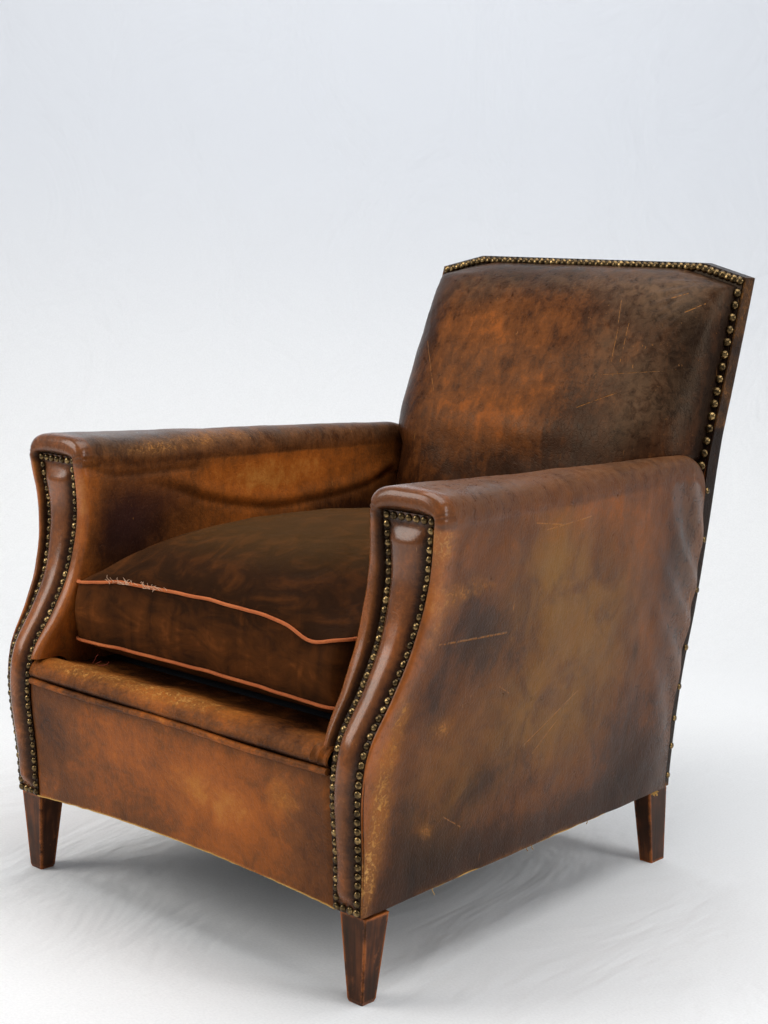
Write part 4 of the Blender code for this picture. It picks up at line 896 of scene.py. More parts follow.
FAR_WARM = [
    ((0.243, 0.400, 0.505), (0.04, 0.150, 0.034), 0.95), ((0.243, 0.045, 0.480), (0.04, 0.030, 0.060), 0.50),
    ((0.243, 0.300, 0.440), (0.04, 0.080, 0.025), 0.30),
]
FAR_DARK = [
    ((0.243, 0.120, 0.440), (0.04, 0.070, 0.050), 0.85), ((0.243, 0.560, 0.430), (0.04, 0.140, 0.035), 0.60),
    ((0.243, 0.220, 0.530), (0.04, 0.100, 0.012), 0.30), ((0.300, 0.090, 0.570), (0.05, 0.050, 0.020), 0.45),
    ((0.290, 0.190, 0.570), (0.05, 0.050, 0.012), 0.35), ((0.262, 0.140, 0.560), (0.02, 0.070, 0.012), 0.35),
]
FAR_VIOLET = [((0.243, 0.120, 0.460), (0.04, 0.050, 0.045), 0.75), ((0.243, 0.180, 0.482), (0.04, 0.050, 0.020), 0.40)]
FAR_SCUFFS = [((0.243, 0.157, 0.548), (0.04, 0.100, 0.012), 0.45), ((0.255, 0.250, 0.562), (0.04, 0.160, 0.012), 0.40)]


# Facing strips and their nails

def strip_point(across, z):
    """A point of the padded strip: across runs from -1 at the inner edge to 1 at the outer."""
    a, b = smooth(NAIL_LINE_INNER, z) - NAIL_RADIUS, smooth(NAIL_LINE_OUTER, z) + NAIL_RADIUS
    width = b - a
    seam = 1 - 2 * 1.5 * NAIL_RADIUS / width
    u = min(abs(across) / seam, 1.0)
    ends = ease(min(z - SKIRT_BOTTOM - 0.007, STRIP_TOP - 0.011 - z) / 0.022)
    lift = STRIP_CROWN * ends * (1 - u**2.6) ** 0.75
    slope = panel_slope(z)
    scale = 1 / sqrt(1 + slope * slope)
    return (mix(a, b, (across + 1) / 2), panel_y(z) - lift * scale, z + lift * slope * scale)


def nail_run(height_from, height_to, line, inset):
    """Evenly spaced places along one side of the strip."""
    steps = 400
    heights = [mix(height_from, height_to, k / steps) for k in range(steps + 1)]
    run = [0.0]
    for low, high in zip(heights, heights[1:]):
        run.append(run[-1] + hypot(high - low, panel_y(high) - panel_y(low)))
    count = round(run[-1] / NAIL_PITCH)
    wanted = np.linspace(0, run[-1], count + 1)
    return [(smooth(line, z) + inset, z) for z in np.interp(wanted, run, heights)]


def strip_nails():
    low, high = SKIRT_BOTTOM + NAIL_RADIUS, STRIP_TOP - NAIL_RADIUS
    spots = nail_run(low, high, NAIL_LINE_INNER, 0.0)
    spots += nail_run(low, high, NAIL_LINE_OUTER, 0.0)
    for z, count in ((high, 5), (low, 2)):
        left, right = smooth(NAIL_LINE_INNER, z), smooth(NAIL_LINE_OUTER, z)
        spots += [(mix(left, right, k / (count + 1)), z) for k in range(1, count + 1)]
    return spots


def facing_strip(side):
    name = "left" if side < 0 else "right"
    rows, columns = 150, 26
    spots = strip_nails()
    grid = np.array([
        [strip_point(2 * j / columns - 1, mix(SKIRT_BOTTOM, STRIP_TOP, i / rows)) for j in range(columns + 1)]
        for i in range(rows + 1)
    ])
    flat = grid.reshape(-1, 3)
    near = np.full(len(flat), 1e9)
    for x, z in spots:
        near = np.minimum(near, np.hypot(flat[:, 0] - x, flat[:, 2] - z))
    sink = 0.0010 * bell(near, 0.0060) + 0.0006 * np.array([lumps(p, 0.035, 5 * side) for p in flat])
    grid = (flat + sink[:, None] * np.array([0.0, 1.0, 0.0])).reshape(grid.shape)
    back = grid.copy()
    back[:, :, 1] = np.array([[panel_y(mix(SKIRT_BOTTOM, STRIP_TOP, i / rows)) + FLANGE_SET - 0.0003] * (columns + 1)
                              for i in range(rows + 1)])
    back[:, :, 2] = np.array([[mix(SKIRT_BOTTOM, STRIP_TOP, i / rows)] * (columns + 1) for i in range(rows + 1)])
    mirror = np.array([side, 1.0, 1.0])
    made = skin("facing_strip_leather_" + name, grid * mirror, LEATHER, LEATHERS["strip"], -1, back * mirror)
    across = np.tile(np.abs(np.linspace(-1, 1, columns + 1)), rows + 1)
    warm = 0.42 * np.clip(1.1 - across, 0, 1)
    # Painted shade round the nail heads and along the strip's edges, where its padded face dips to the nails
    grime = 0.95 * bell(near, 0.0075) + 0.5 * np.clip((across - 0.62) / 0.3, 0, 1)
    gloss = np.clip(1 - (across - 0.45) / 0.3, 0, 1) * (0.35 + 0.65 * np.clip((flat[:, 2] - 0.22) / 0.08, 0, 1))
    double = {key: np.concatenate([v, v]) for key, v in (("warm", warm), ("grime", grime), ("gloss", gloss))}
    paint_layers(made, **double)
    settle(made, "facing_strip_" + name, slot="strip_leather_and_nails", fill=0.7)
    seats = []
    for x, z in spots:
        slope = panel_slope(z)
        out = Vector((0.0, -1.0, slope)).normalized()
        seats.append(((side * x, panel_y(z) + 0.0004, z), out, NAIL_RADIUS * 0.94))
    nails = domes("facing_nails_" + name, seats, LEATHERS["brass"], height=0.78, seed=11 + side)
    settle(nails, slot="nail_brass")


# Seat front

def front_apron():
    half = smooth(NAIL_LINE_INNER, 0.200) - 0.002
    top = WELT_HEIGHT - 0.0035
    rows, columns = 44, 110
    grid = []
    for i in range(rows + 1):
        row = []
        for j in range(columns + 1):
            u = 2 * j / columns - 1
            low = SKIRT_BOTTOM + FRONT_RAIL_ARCH * (1 - u * u)
            z = mix(low, top, i / rows)
            edge = ease((1 - abs(u)) / 0.035)
            wave = 0.0006 * lumps((u * 0.26, 0, z), 0.05, 4.0) + 0.0012 * lumps((u * 0.26, 0, z * 0.5), 0.11, 6.0)
            row.append((half * u, panel_y(z) + FLANGE_SET - (0.0032 + wave) * edge, z))
        grid.append(row)
    made = skin("apron_leather", grid, LEATHER, LEATHERS["apron"], -1)
    points = np.array(grid).reshape(-1, 3)
    warm = blots(points, [((-0.093, -0.012, 0.200), (0.09, 0.1, 0.05), 0.40), ((0.086, -0.012, 0.185), (0.10, 0.1, 0.05), 0.50)])
    # Darker at both ends, and painted shade under the welt bead along the top
    grime = blots(points, [((-0.240, 0, 0.21), (0.05, 0.1, 0.05), 0.45), ((0.245, 0, 0.165), (0.05, 0.1, 0.07), 0.45)])
    grime += 0.4 * np.clip((points[:, 2] - 0.245) / 0.02, 0, 1)
    edge = np.clip(1 - (points[:, 2] - SKIRT_BOTTOM - FRONT_RAIL_ARCH * (1 - (points[:, 0] / half) ** 2)) / 0.004, 0, 1)
    edge += blots(points, [((-0.150, 0, 0.205), (0.05, 0.1, 0.03), 0.30), ((0.060, 0, 0.190), (0.09, 0.1, 0.04), 0.42),
                           ((0.190, 0, 0.215), (0.03, 0.1, 0.03), 0.40)])
    double = {key: np.concatenate([v, v]) for key, v in (("warm", warm), ("grime", grime), ("scuff", edge))}
    paint_layers(made, **double)
    settle(made, "front_apron", slot="brown_leather", fill=0.3)


def front_welt():
    points = []
    for k in range(121):
        u = 2 * k / 120 - 1
        z = WELT_HEIGHT + 0.0010 * cos(5 * u) + 0.0007 * lumps((u, 0, 0), 0.16, 2.0)
        points.append((0.2612 * u, panel_y(WELT_HEIGHT) - 0.0008, z))
    made = cord("welt_bead", points, 0.0040, LEATHERS["welt"], sides=4)
    settle(made, "front_welt", slot="brown_leather")


def lip_section():
    front = panel_y(WELT_HEIGHT)
    return [
        (front + 0.003, WELT_HEIGHT + 0.0020), (front - 0.0025, 0.2725), (front - 0.0008, 0.2805),
        (front + 0.004, 0.2870), (front + 0.014, LIP_HEIGHT - 0.0012), (front + 0.026, LIP_HEIGHT),
        (front + 0.040, 0.2895), (0.045, 0.2850), (0.085, DECK_HEIGHT - 0.0005),
    ]


def rounded(points, count):
    """Even steps along a smooth line through points in the plane."""
    run = [0.0]
    for a, b in zip(points, points[1:]):
        run.append(run[-1] + hypot(b[0] - a[0], b[1] - a[1]))
    first = [(r, p[0]) for r, p in zip(run, points)]
    second = [(r, p[1]) for r, p in zip(run, points)]
    return [(smooth(first, run[-1] * k / count), smooth(second, run[-1] * k / count)) for k in range(count + 1)]


def seat_lip():
    section = rounded(lip_section(), 36)
    columns = 130
    grid = []
    for i, (y, z) in enumerate(section):
        half = mix(LIP_FRONT_HALF, SEAT_HALF, ease((y - 0.004) / 0.014))
        row = []
        for j in range(columns + 1):
            u = 2 * j / columns - 1
            fade = ease(i / 5) * ease((len(section) - 1 - i) / 8)
            wave = 0.0030 * lumps((u * 0.26, y, 0), 0.060, 3.0) + 0.0010 * lumps((u * 0.26, y, z), 0.018, 7.0)
            pleats = 0.0030 * sin(u * 140) * ease((u - 0.86) / 0.06) + 0.0016 * sin(u * 130) * ease((-u - 0.93) / 0.05)
            row.append((half * u, y - pleats * fade, z + (wave - 0.0012) * fade))
        grid.append(row)
    made = skin("seat_lip_leather", grid, LEATHER, LEATHERS["lip"], -1)
    points = np.array(grid).reshape(-1, 3)
    ridge = bell(points[:, 2] - LIP_HEIGHT, 0.010)
    scuff = ridge * (0.30 + blots(points, [((-0.19, -0.01, 0.29), (0.05, 0.1, 0.1), 0.55), ((-0.075, -0.01, 0.29), (0.08, 0.1, 0.1), 0.45),
                                           ((0.03, 0.0, 0.29), (0.06, 0.1, 0.1), 0.45)]))
    # Painted shade on the lip's underside above the welt and on its back part under the cushion, and a darker patch
    # towards the near end
    grime = np.clip((0.2745 - points[:, 2]) / 0.006, 0, 1) * 0.8 + blots(points, [((0.15, 0.01, 0.29), (0.06, 0.05, 0.1), 0.35)])
    grime += 0.5 * np.clip((points[:, 1] - 0.035) / 0.02, 0, 1)
    double = {key: np.concatenate([v, v]) for key, v in (("scuff", scuff), ("grime", grime), ("warm", ridge * 0.2))}
    paint_layers(made, **double)
    settle(made, "seat_lip", "seat_stuffing", slot="brown_leather", fill=0.8)


def seat_deck():
    start, end = 0.084, 0.632
    rows, columns = 40, 40
    grid = []
    for i in range(rows + 1):
        row = []
        for j in range(columns + 1):
            x, y = SEAT_HALF * (2 * j / columns - 1), mix(start, end, i / rows)
            row.append((x, y, DECK_HEIGHT - 0.0010 - 0.0012 * abs(lumps((x, y, 0), 0.09, 1.0))))
        grid.append(row)
    made = skin("deck_lining", grid, 0.0012, LEATHERS["deck"], -1)
    settle(made, "seat_deck", slot="deck_cloth")


def under_lift(x, y):
    """How far the straps and the dust cloth follow the arch of the front rail upwards."""
    return FRONT_RAIL_ARCH * (1 - (x / 0.262) ** 2) * ease((0.070 - y) / 0.060)


def bottom_cloth():
    low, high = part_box("bottom_cloth")
    rows, columns = 60, 26
    grid = []
    for i in range(rows + 1):
        row = []
        for j in range(columns + 1):
            s, t = j / columns, i / rows
            x, y = mix(low.x, high.x, s), mix(low.y, high.y, t) - FRONT
            sag = 0.0022 * sin(pi * s) * sin(pi * t) ** 2
            row.append((x, y, high.z - sag + under_lift(x, y)))
        grid.append(row)
    made = skin("dust_cover", grid, 0.0006, LEATHERS["dust"], -1)
    settle(made, "bottom_cloth", slot="dust_cloth")


STRAP_CROSSINGS = (0.115, 0.245, 0.375, 0.505)


def long_straps():
    """The straps from front to back, with their front ends drawn up to the arched rail."""
    for number in range(1, 5):
        node = f"seat_web_long_{number}"
        low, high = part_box(node)
        middle = 0.1074
        turn = 1 if number % 2 else -1
        keys = [(low.y - FRONT, 0.0)]
        for crossing in STRAP_CROSSINGS:
            keys += [(crossing - 0.047, turn), (crossing + 0.047, turn)]
            turn = -turn
        keys.append((high.y - FRONT, 0.0))
        grid = []
        for y in np.linspace(keys[0][0], keys[-1][0], 90):
            z = middle + 0.0010 + 0.00115 * float(np.interp(y, *zip(*keys)))
            grid.append([(x, y, z + under_lift(x, y)) for x in np.linspace(low.x, high.x, 7)])
        made = skin(f"web_long_{number}", grid, 0.0020, LEATHERS["jute"], -1)
        settle(made, node, slot="jute_webbing")


# Loose ends: frayed piping, a torn edge, threads

def threads(name, lines, radius, finish, slot):
    """Fine threads in one curve, each along its own points."""
    curve = bpy.data.curves.new(name, "CURVE")
    curve.dimensions = "3D"
    for line in lines:
        spline = curve.splines.new("POLY")
        points = into_frame(line)
        spline.points.add(len(points) - 1)
        for point, place in zip(spline.points, points):
            point.co = (*place, 1.0)
    curve.bevel_depth = radius
    curve.bevel_resolution = 1
    curve.materials.append(finish)
    made = bpy.data.objects.new(name, curve)
    bpy.context.collection.objects.link(made)
    settle(made, slot=slot)


def tuft(chance, start, out, length, steps=6, wild=0.8):
    """A thread that wanders away from its start."""
    way = Vector(out).normalized()
    points = [Vector(start)]
    for _ in range(steps):
        way = (way + Vector([chance.uniform(-wild, wild) for _ in range(3)]) * 0.6).normalized()
        points.append(points[-1] + way * length / steps)
    return [tuple(point) for point in points]


def cut_edges():
    """The pale cut edge of the canvas and leather, which shows in places under the apron and the sides."""
    half = smooth(NAIL_LINE_INNER, 0.200) - 0.004
    front = []
    for u in np.linspace(-1, 1, 120):
        z = SKIRT_BOTTOM + FRONT_RAIL_ARCH * (1 - u * u) + 0.0004 + 0.0007 * lumps((u, 0, 0), 0.045, 2.0)
        front.append((half * u, panel_y(z) + 0.0004, z))
    settle(cord("apron_cut_edge", front, 0.0008, LEATHERS["straw"]), slot="brown_leather")
    for side in (-1, 1):
        line = []
        for y in np.linspace(0.020, 0.640, 120):
            z = SKIRT_BOTTOM + 0.0002 + 0.0011 * lumps((y, side, 0), 0.030, 5.0)
            line.append((side * (side_x(y, SKIRT_BOTTOM) - 0.0012), y, z))
        name = "left" if side < 0 else "right"
        settle(cord("side_cut_edge_" + name, line, 0.0008, LEATHERS["straw"]), slot="brown_leather")


def loose_ends():
    chance = Random(21)
    front = CUSHION_CENTRE[1] - CUSHION_HALF[1] - 0.0040
    fray, runs = [], []
    for k in range(46):
        x = chance.choice((-0.165, -0.135, -0.128, -0.098, -0.075)) + chance.gauss(0, 0.010)
        z = CUSHION_SEAM_HIGH + seam_rise(x - CUSHION_CENTRE[0], -CUSHION_HALF[1], True) + chance.uniform(-0.001, 0.002)
        fray.append(tuft(chance, (x, front, z), (chance.uniform(-1, 1), -0.5, 0.5), chance.uniform(0.004, 0.010)))
    threads("piping_fray", fray, 0.00028, LEATHERS["fray"], "orange_piping")
    for k in range(34):
        start = (0.2712 + chance.uniform(-0.001, 0.001), 0.624 + chance.uniform(-0.008, 0.006), 0.1075)
        runs.append(tuft(chance, start, (0.2, 0.0, -1.0), chance.uniform(0.004, 0.009)))
    for y in (0.31, 0.322, 0.45, 0.12):
        runs.append(tuft(chance, (side_x(y, 0.108) - 0.0005, y, 0.1075), (0.2, 0.3, -1.0), chance.uniform(0.005, 0.009)))
    threads("torn_edge", runs, 0.00045, LEATHERS["straw"], "brown_leather")
    red = [tuft(chance, (-0.200 + 0.006 * k, 0.030, 0.2895), (1.0, -0.3, 0.5), 0.016, 8, 0.6) for k in range(4)]
    threads("red_threads", red, 0.00030, LEATHERS["red"], "orange_piping")


# Back

def outline_half(z):
    """Half the width of the back's face, which narrows above its shoulders."""
    if z <= BACK_SHOULDER - LEATHER:
        return COVER_EDGE
    s = (z - BACK_SHOULDER + LEATHER) / (BACK_HEIGHT - BACK_SHOULDER)
    return mix(COVER_EDGE, BACK_TOP_HALF - 0.008, s)


def pad_half(z):
    above_arms = outline_half(min(z + 0.0095, BACK_HEIGHT)) - BACK_FLANGE
    return mix(PAD_HALF_LOW, above_arms, ease((z - 0.532) / 0.030))


BACK_WARM = [
    ((-0.110, 0.69, 0.700), (0.080, 0.2, 0.055), 0.26), ((-0.010, 0.69, 0.735), (0.090, 0.2, 0.045), 0.40),
    ((-0.080, 0.62, 0.590), (0.090, 0.2, 0.060), 0.45), ((0.020, 0.65, 0.650), (0.100, 0.2, 0.060), 0.36),
    ((-0.170, 0.65, 0.640), (0.050, 0.2, 0.080), 0.24), ((0.010, 0.63, 0.580), (0.130, 0.2, 0.045), 0.40),
]
BACK_DARK = [
    ((0.230, 0.70, 0.700), (0.035, 0.2, 0.100), 0.50), ((-0.020, 0.75, 0.797), (0.260, 0.2, 0.018), 0.45),
    ((-0.230, 0.70, 0.720), (0.030, 0.2, 0.080), 0.35), ((0.150, 0.63, 0.600), (0.070, 0.2, 0.040), 0.30),
    ((0.160, 0.70, 0.760), (0.080, 0.2, 0.030), 0.30),
]
# Patches of painted sheen on the back, mostly high up and towards the near arm
BACK_PAINTED_SHEEN = [
    ((0.190, 0.65, 0.640), (0.050, 0.2, 0.070), 0.55), ((0.180, 0.72, 0.770), (0.070, 0.2, 0.035), 0.50),
    ((0.060, 0.74, 0.790), (0.140, 0.2, 0.020), 0.45), ((-0.150, 0.72, 0.775), (0.070, 0.2, 0.025), 0.35),
    ((0.120, 0.69, 0.700), (0.040, 0.2, 0.050), 0.35),
]
def inside_back():
    spread = [sin(pi / 2 * k / 46) * 0.35 + (k / 46) * 0.65 for k in range(47)]
    heights = [mix(0.290, 0.8135, mix(t, sin(pi / 2 * t), 0.55)) for t in np.linspace(0, 1, 104)]
    grid = []
    for z in heights:
        depth = smooth(PAD_DEPTH, z)
        half = pad_half(z)
        right = [(half * u, nail_plane_y(z) - depth * (1 - u**8) ** 0.55, z) for u in spread]
        edge = outline_half(z) if z > 0.530 else PAD_HALF_LOW + 0.0015
        right += [(mix(half, edge, s), nail_plane_y(z), z) for s in (0.25, 0.6, 1.0)]
        grid.append([(-x, y, h) for x, y, h in right[:0:-1]] + right)
    for z in np.linspace(0.8150, BACK_HEIGHT - LEATHER - 0.0003, 3):
        half = outline_half(z)
        inner = half - BACK_FLANGE
        right = [(inner * u, nail_plane_y(z), z) for u in spread] + [(mix(inner, half, s), nail_plane_y(z), z) for s in (0.25, 0.6, 1.0)]
        grid.append([(-x, y, h) for x, y, h in right[:0:-1]] + right)
    grid = np.array(grid)
    flat = grid.reshape(-1, 3)
    normals = -grid_normals(grid)
    x, z = flat[:, 0], flat[:, 2]
    face = np.clip((nail_plane_y_array(z) - flat[:, 1]) / 0.03, 0, 1)
    push = np.array([0.0030 * lumps(p, 0.13, 9.0) + 0.0010 * lumps(p, 0.040, 8.0) + 0.0003 * lumps(p, 0.012, 7.0) for p in flat])
    # Fine folds that run in from the upper corners, where the leather is drawn to the nails
    for sign in (-1, 1):
        reach = np.hypot(x - sign * 0.250, z - 0.795)
        angle = np.arctan2(0.795 - z, sign * 0.250 - x if sign > 0 else x + 0.250)
        push += 0.0011 * np.sin(angle * 34) * bell(reach - 0.050, 0.040) * (0.5 if sign < 0 else 1.0)
    # The pad sags a little above the arms
    push += 0.0030 * bell(z - 0.585, 0.03) * (1 - (x / 0.26) ** 2).clip(0, 1)
    push *= face
    moved = flat + push[:, None] * normals.reshape(-1, 3)
    grid = moved.reshape(grid.shape)
    made = skin("back_pad_leather", grid, LEATHER, LEATHERS["back"], -1)
    points = np.concatenate([flat, flat])
    warm = blots(points, BACK_WARM)
    grime = blots(points, BACK_DARK)
    # Painted sheen in patches
    grey = blots(points, BACK_PAINTED_SHEEN)
    # Painted shade along the pad's edge, where it dips to the nail line, with no sheen there
    rim = np.clip(1 - (nail_plane_y_array(points[:, 2]) - points[:, 1]) / 0.006, 0, 1)
    grime += 0.9 * rim
    grey *= 1 - rim
    paint_layers(made, warm=warm, grime=grime, grey=grey)
    settle(made, "inside_back_cover", "back_stuffing", "back_hessian", slot="brown_leather", fill=0.8)


def nail_plane_y_array(z):
    return BACK_NAIL_PLANE_Y + BACK_NAIL_PLANE_SLOPE * (z - BACK_NAIL_PLANE_Z)


def back_nails():
    """Big nails up each side and a close rope of them over the top, on their own strip of leather."""
    x, top = 0.2612, BACK_HEIGHT - 0.0062
    corner, kink, low = BACK_SHOULDER - 0.0045, BACK_TOP_HALF - 0.0035, 0.547
    out = Vector((0.0, -1.0, BACK_NAIL_PLANE_SLOPE)).normalized()
    line = [(-x, low), (-x, corner), (-kink, top), (kink, top), (x, corner), (x, low)]
    pitches = (0.0166, 0.0106, 0.0102, 0.0106, 0.0166)
    radii = (0.0066, 0.0060, 0.0059, 0.0060, 0.0066)
    seats = []
    for a, b, pitch, radius in zip(line, line[1:], pitches, radii):
        count = round(hypot(b[0] - a[0], b[1] - a[1]) / pitch)
        for k in range(count):
            px, pz = mix(a[0], b[0], k / count), mix(a[1], b[1], k / count)
            seats.append(((px, nail_plane_y(pz) - 0.0006, pz), out, radius))
    seats.append(((x, nail_plane_y(low) - 0.0006, low), out, 0.0066))
    made = domes("back_nails", seats, LEATHERS["brass"], height=0.72, seed=5)
    settle(made, "back_edge_nails", slot="nail_brass")


def outside_row(z, half_width, front, inset, round_off=0.006):
    rear = smooth(REAR_LINE, z) - inset
    right = [(half_width * s, rear, z) for s in np.linspace(0, 1, 24)[:-1] if half_width * s < half_width - round_off]
    for k in range(7):
        turn = pi / 2 * k / 6
        right.append((half_width - round_off + round_off * sin(turn), rear - round_off + round_off * cos(turn), z))
    right += [(half_width, mix(rear - round_off, front, s), z) for s in (0.2, 0.4, 0.6, 0.8, 1.0)]
    return [(-x, y, h) for x, y, h in right[:0:-1]] + right


def outside_back():
    def grid_at(inset):
        half, top = BACK_HALF - inset, BACK_TOP_HALF - inset * 0.7
        heights = list(np.linspace(SKIRT_BOTTOM, BACK_SHOULDER - inset, 70))
        grid = [outside_row(z, half, side_seam_y(z) + 0.001, inset) for z in heights]
        for s in (0.25, 0.5, 0.75, 1.0):
            z = mix(BACK_SHOULDER - inset, BACK_HEIGHT - inset, s)
            grid.append(outside_row(z, mix(half, top, s), side_seam_y(z) + 0.001, inset))
        front = side_seam_y(BACK_HEIGHT) + 0.001
        last = np.array(grid[-1])
        for s in (0.3, 0.65, 1.0):
            lid = last.copy()
            lid[:, 1] = mix(last[:, 1], front, s)
            lid[:, 0] *= 1 - 0.06 * s
            lid[:, 2] += 0.0001 * s
            grid.append(lid.tolist())
        return np.array(grid, float)

    outer, inner = grid_at(0.0), grid_at(LEATHER)
    flat = outer.reshape(-1, 3)
    rear = np.clip((flat[:, 1] - (np.array([smooth(REAR_LINE, z) for z in flat[:, 2]]) - 0.004)) / 0.003, 0, 1)
    wave = np.array([0.0012 * lumps(p, 0.10, 12.0) + 0.0005 * lumps(p, 0.03, 13.0) for p in flat])
    flat[:, 1] += rear * wave * np.clip((BACK_SHOULDER - flat[:, 2]) / 0.03, 0, 1)
    made = skin("outside_back_leather", flat.reshape(outer.shape), LEATHER, LEATHERS["dark"], 1, inner)
    points = np.concatenate([flat, flat])
    scuff = 0.35 * bell(np.abs(points[:, 0]) - BACK_HALF, 0.003) * (points[:, 2] > 0.6)
    scuff += 0.5 * np.clip(1 - (points[:, 2] - SKIRT_BOTTOM) / 0.004, 0, 1)
    paint_layers(made, scuff=scuff)
    settle(made, "outside_back_cover", slot="dark_leather", fill=0.2)


SIDE_NAIL_HEIGHTS = (0.513, 0.445, 0.376, 0.298, 0.245, 0.201, 0.163, 0.122)


def side_nails():
    """Spaced nails down the rear edge of each side, which hold the outside back's leather."""
    seats = []
    for side in (-1, 1):
        for z in SIDE_NAIL_HEIGHTS:
            place = (side * (BACK_HALF + 0.0002), side_seam_y(z) + 0.0085, z)
            seats.append((place, (side, 0.0, 0.0), 0.0046))
    made = domes("side_back_nails", seats, LEATHERS["brass"], height=0.5, seed=8)
    settle(made, slot="nail_brass")


# Loose cushion

def cushion_spot(a, b, shrink=0.0):
    """Plan place of a point of the unit square, drawn into a rectangle with rounded corners."""
    big = max(abs(a), abs(b))
    if big < 1e-9:
        return (0.0, 0.0)
    p, q = abs(a) / big, abs(b) / big
    power = 22.0
    pull = (p**power + q**power) ** (-1 / power)
    waist = 0.012 * (1 - p * p if q >= p else 1 - q * q) * big**3
    hx, hy = CUSHION_HALF[0] - shrink, CUSHION_HALF[1] - shrink
    flare = 0.008 * ease((-a - 0.5) / 0.5) * ease((-b - 0.7) / 0.3)
    return (hx * a * pull * (1 - waist * 0.5) - flare, hy * b * pull * (1 - waist * 0.5))


def seam_rise(x, y, high):
    """Height of a seam round the cushion: it lifts along the front and dips before its right end."""
    across = x / CUSHION_HALF[0]
    front = max(0.0, 1 - (y + CUSHION_HALF[1]) / 0.16)
    lift = 0.005 * (1 - across**2)
    if high:
        lift = 0.012 * (1 - across**2) - 0.012 * exp(-(((across - 0.80) / 0.13) ** 2)) - 0.006 * ease((-across - 0.6) / 0.4)
    return lift * front + (0.0022 if high else 0.0016) * lumps((x, y, 0), 0.040, 21.0)


CUSHION_GRID = 56
BOX_ROWS = 12


def cushion():
    """A feather cushion: two crowned faces and a boxed side between piped seams."""
    n = CUSHION_GRID
    cx, cy = CUSHION_CENTRE
    points, faces = [], []
    index = {}

    def face_grid(tag, place):
        for i in range(n + 1):
            for j in range(n + 1):
                a, b = 2 * i / n - 1, 2 * j / n - 1
                a, b = mix(a, sin(pi / 2 * a), 0.35), mix(b, sin(pi / 2 * b), 0.35)
                index[tag, i, j] = len(points)
                points.append(place(a, b))

    def top(a, b):
        x, y = cushion_spot(a, b)
        r = max(abs(a), abs(b))
        seam = CUSHION_SEAM_HIGH + seam_rise(x, y, True)
        rise = max(0.0, (1 - abs(a) ** 2.4) * (1 - abs(b) ** 2.6)) ** 0.62
        z = seam + (CUSHION_CROWN - CUSHION_SEAM_HIGH) * rise * (1 + 0.05 * lumps((x, y, 0), 0.16, 30.0))
        return (cx + x, cy + y, z)

    def bottom(a, b):
        x, y = cushion_spot(a, b)
        r = max(abs(a), abs(b))
        seam = CUSHION_SEAM_LOW + seam_rise(x, y, False)
        belly = DECK_HEIGHT + 0.0005
        return (cx + x, cy + y, mix(seam, belly, min(1.0, (1 - r**3.0) * 1.6) ** 0.8))

    face_grid("top", top)
    face_grid("bottom", bottom)
    ring = [(i, 0) for i in range(n)] + [(n, j) for j in range(n)]
    ring += [(i, n) for i in range(n, 0, -1)] + [(0, j) for j in range(n, 0, -1)]
    for row in range(1, BOX_ROWS):
        s = row / BOX_ROWS
        for k, (i, j) in enumerate(ring):
            low, high = points[index["bottom", i, j]], points[index["top", i, j]]
            out = Vector((high[0] - cx, high[1] - cy))
            a, b = 2 * i / n - 1, 2 * j / n - 1
            nx = a if abs(a) > 0.985 else 0.0
            ny = b if abs(b) > 0.985 else 0.0
            length = hypot(nx, ny) or 1.0
            bulge = (0.0020 if nx else 0.0065) * sin(pi * s)
            tuck = 0.0009 * lumps((high[0], high[1], s * 0.05), 0.02, 17.0)
            index["box", row, k] = len(points)
            points.append((
                mix(low[0], high[0], s) + (bulge + tuck) * nx / length,
                mix(low[1], high[1], s) + (bulge + tuck) * ny / length,
                mix(low[2], high[2], s),
            ))
    for i in range(n):
        for j in range(n):
            for tag in ("top", "bottom"):
                faces.append([index[tag, i, j], index[tag, i + 1, j], index[tag, i + 1, j + 1], index[tag, i, j + 1]])
    count = len(ring)
    for k in range(count):
        m = (k + 1) % count
        columns = []
        for p in (k, m):
            i, j = ring[p]
            columns.append([index["bottom", i, j]] + [index["box", row, p] for row in range(1, BOX_ROWS)] + [index["top", i, j]])
        for row in range(BOX_ROWS):
            faces.append([columns[0][row], columns[1][row], columns[1][row + 1], columns[0][row + 1]])
    made = add_mesh("cushion_velvet", points, faces, LEATHERS["velvet"], sharp=2.0)
    spots = places(made)
    box = bell((spots[:, 2] - 0.352) / 0.035, 1.0) * (np.abs(spots[:, 2] - 0.354) < 0.045)
    paint(made, "warm", 0.5 * box * (spots[:, 1] < 0.1))
    crown = np.clip((spots[:, 2] - 0.440) / 0.03, 0, 1)
    paint(made, "gold", 0.24 * crown)
    settle(made, "seat_cushion", slot="brown_velvet", fill=0.75)
    for name, tag in (("top", "top"), ("bottom", "bottom")):
        line = []
        for k, (i, j) in enumerate(ring):
            x, y, z = points[index[tag, i, j]]
            out = Vector((x - cx, y - cy, 0)).normalized() * 0.0016
            line.append((x + out.x, y + out.y, z + (0.0006 if tag == "top" else -0.0006)))
        bead = cord("piping_" + name, line, PIPING_RADIUS, LEATHERS["piping"], cyclic=True, sides=3)
        settle(bead, "cushion_piping_" + name, slot="orange_piping")


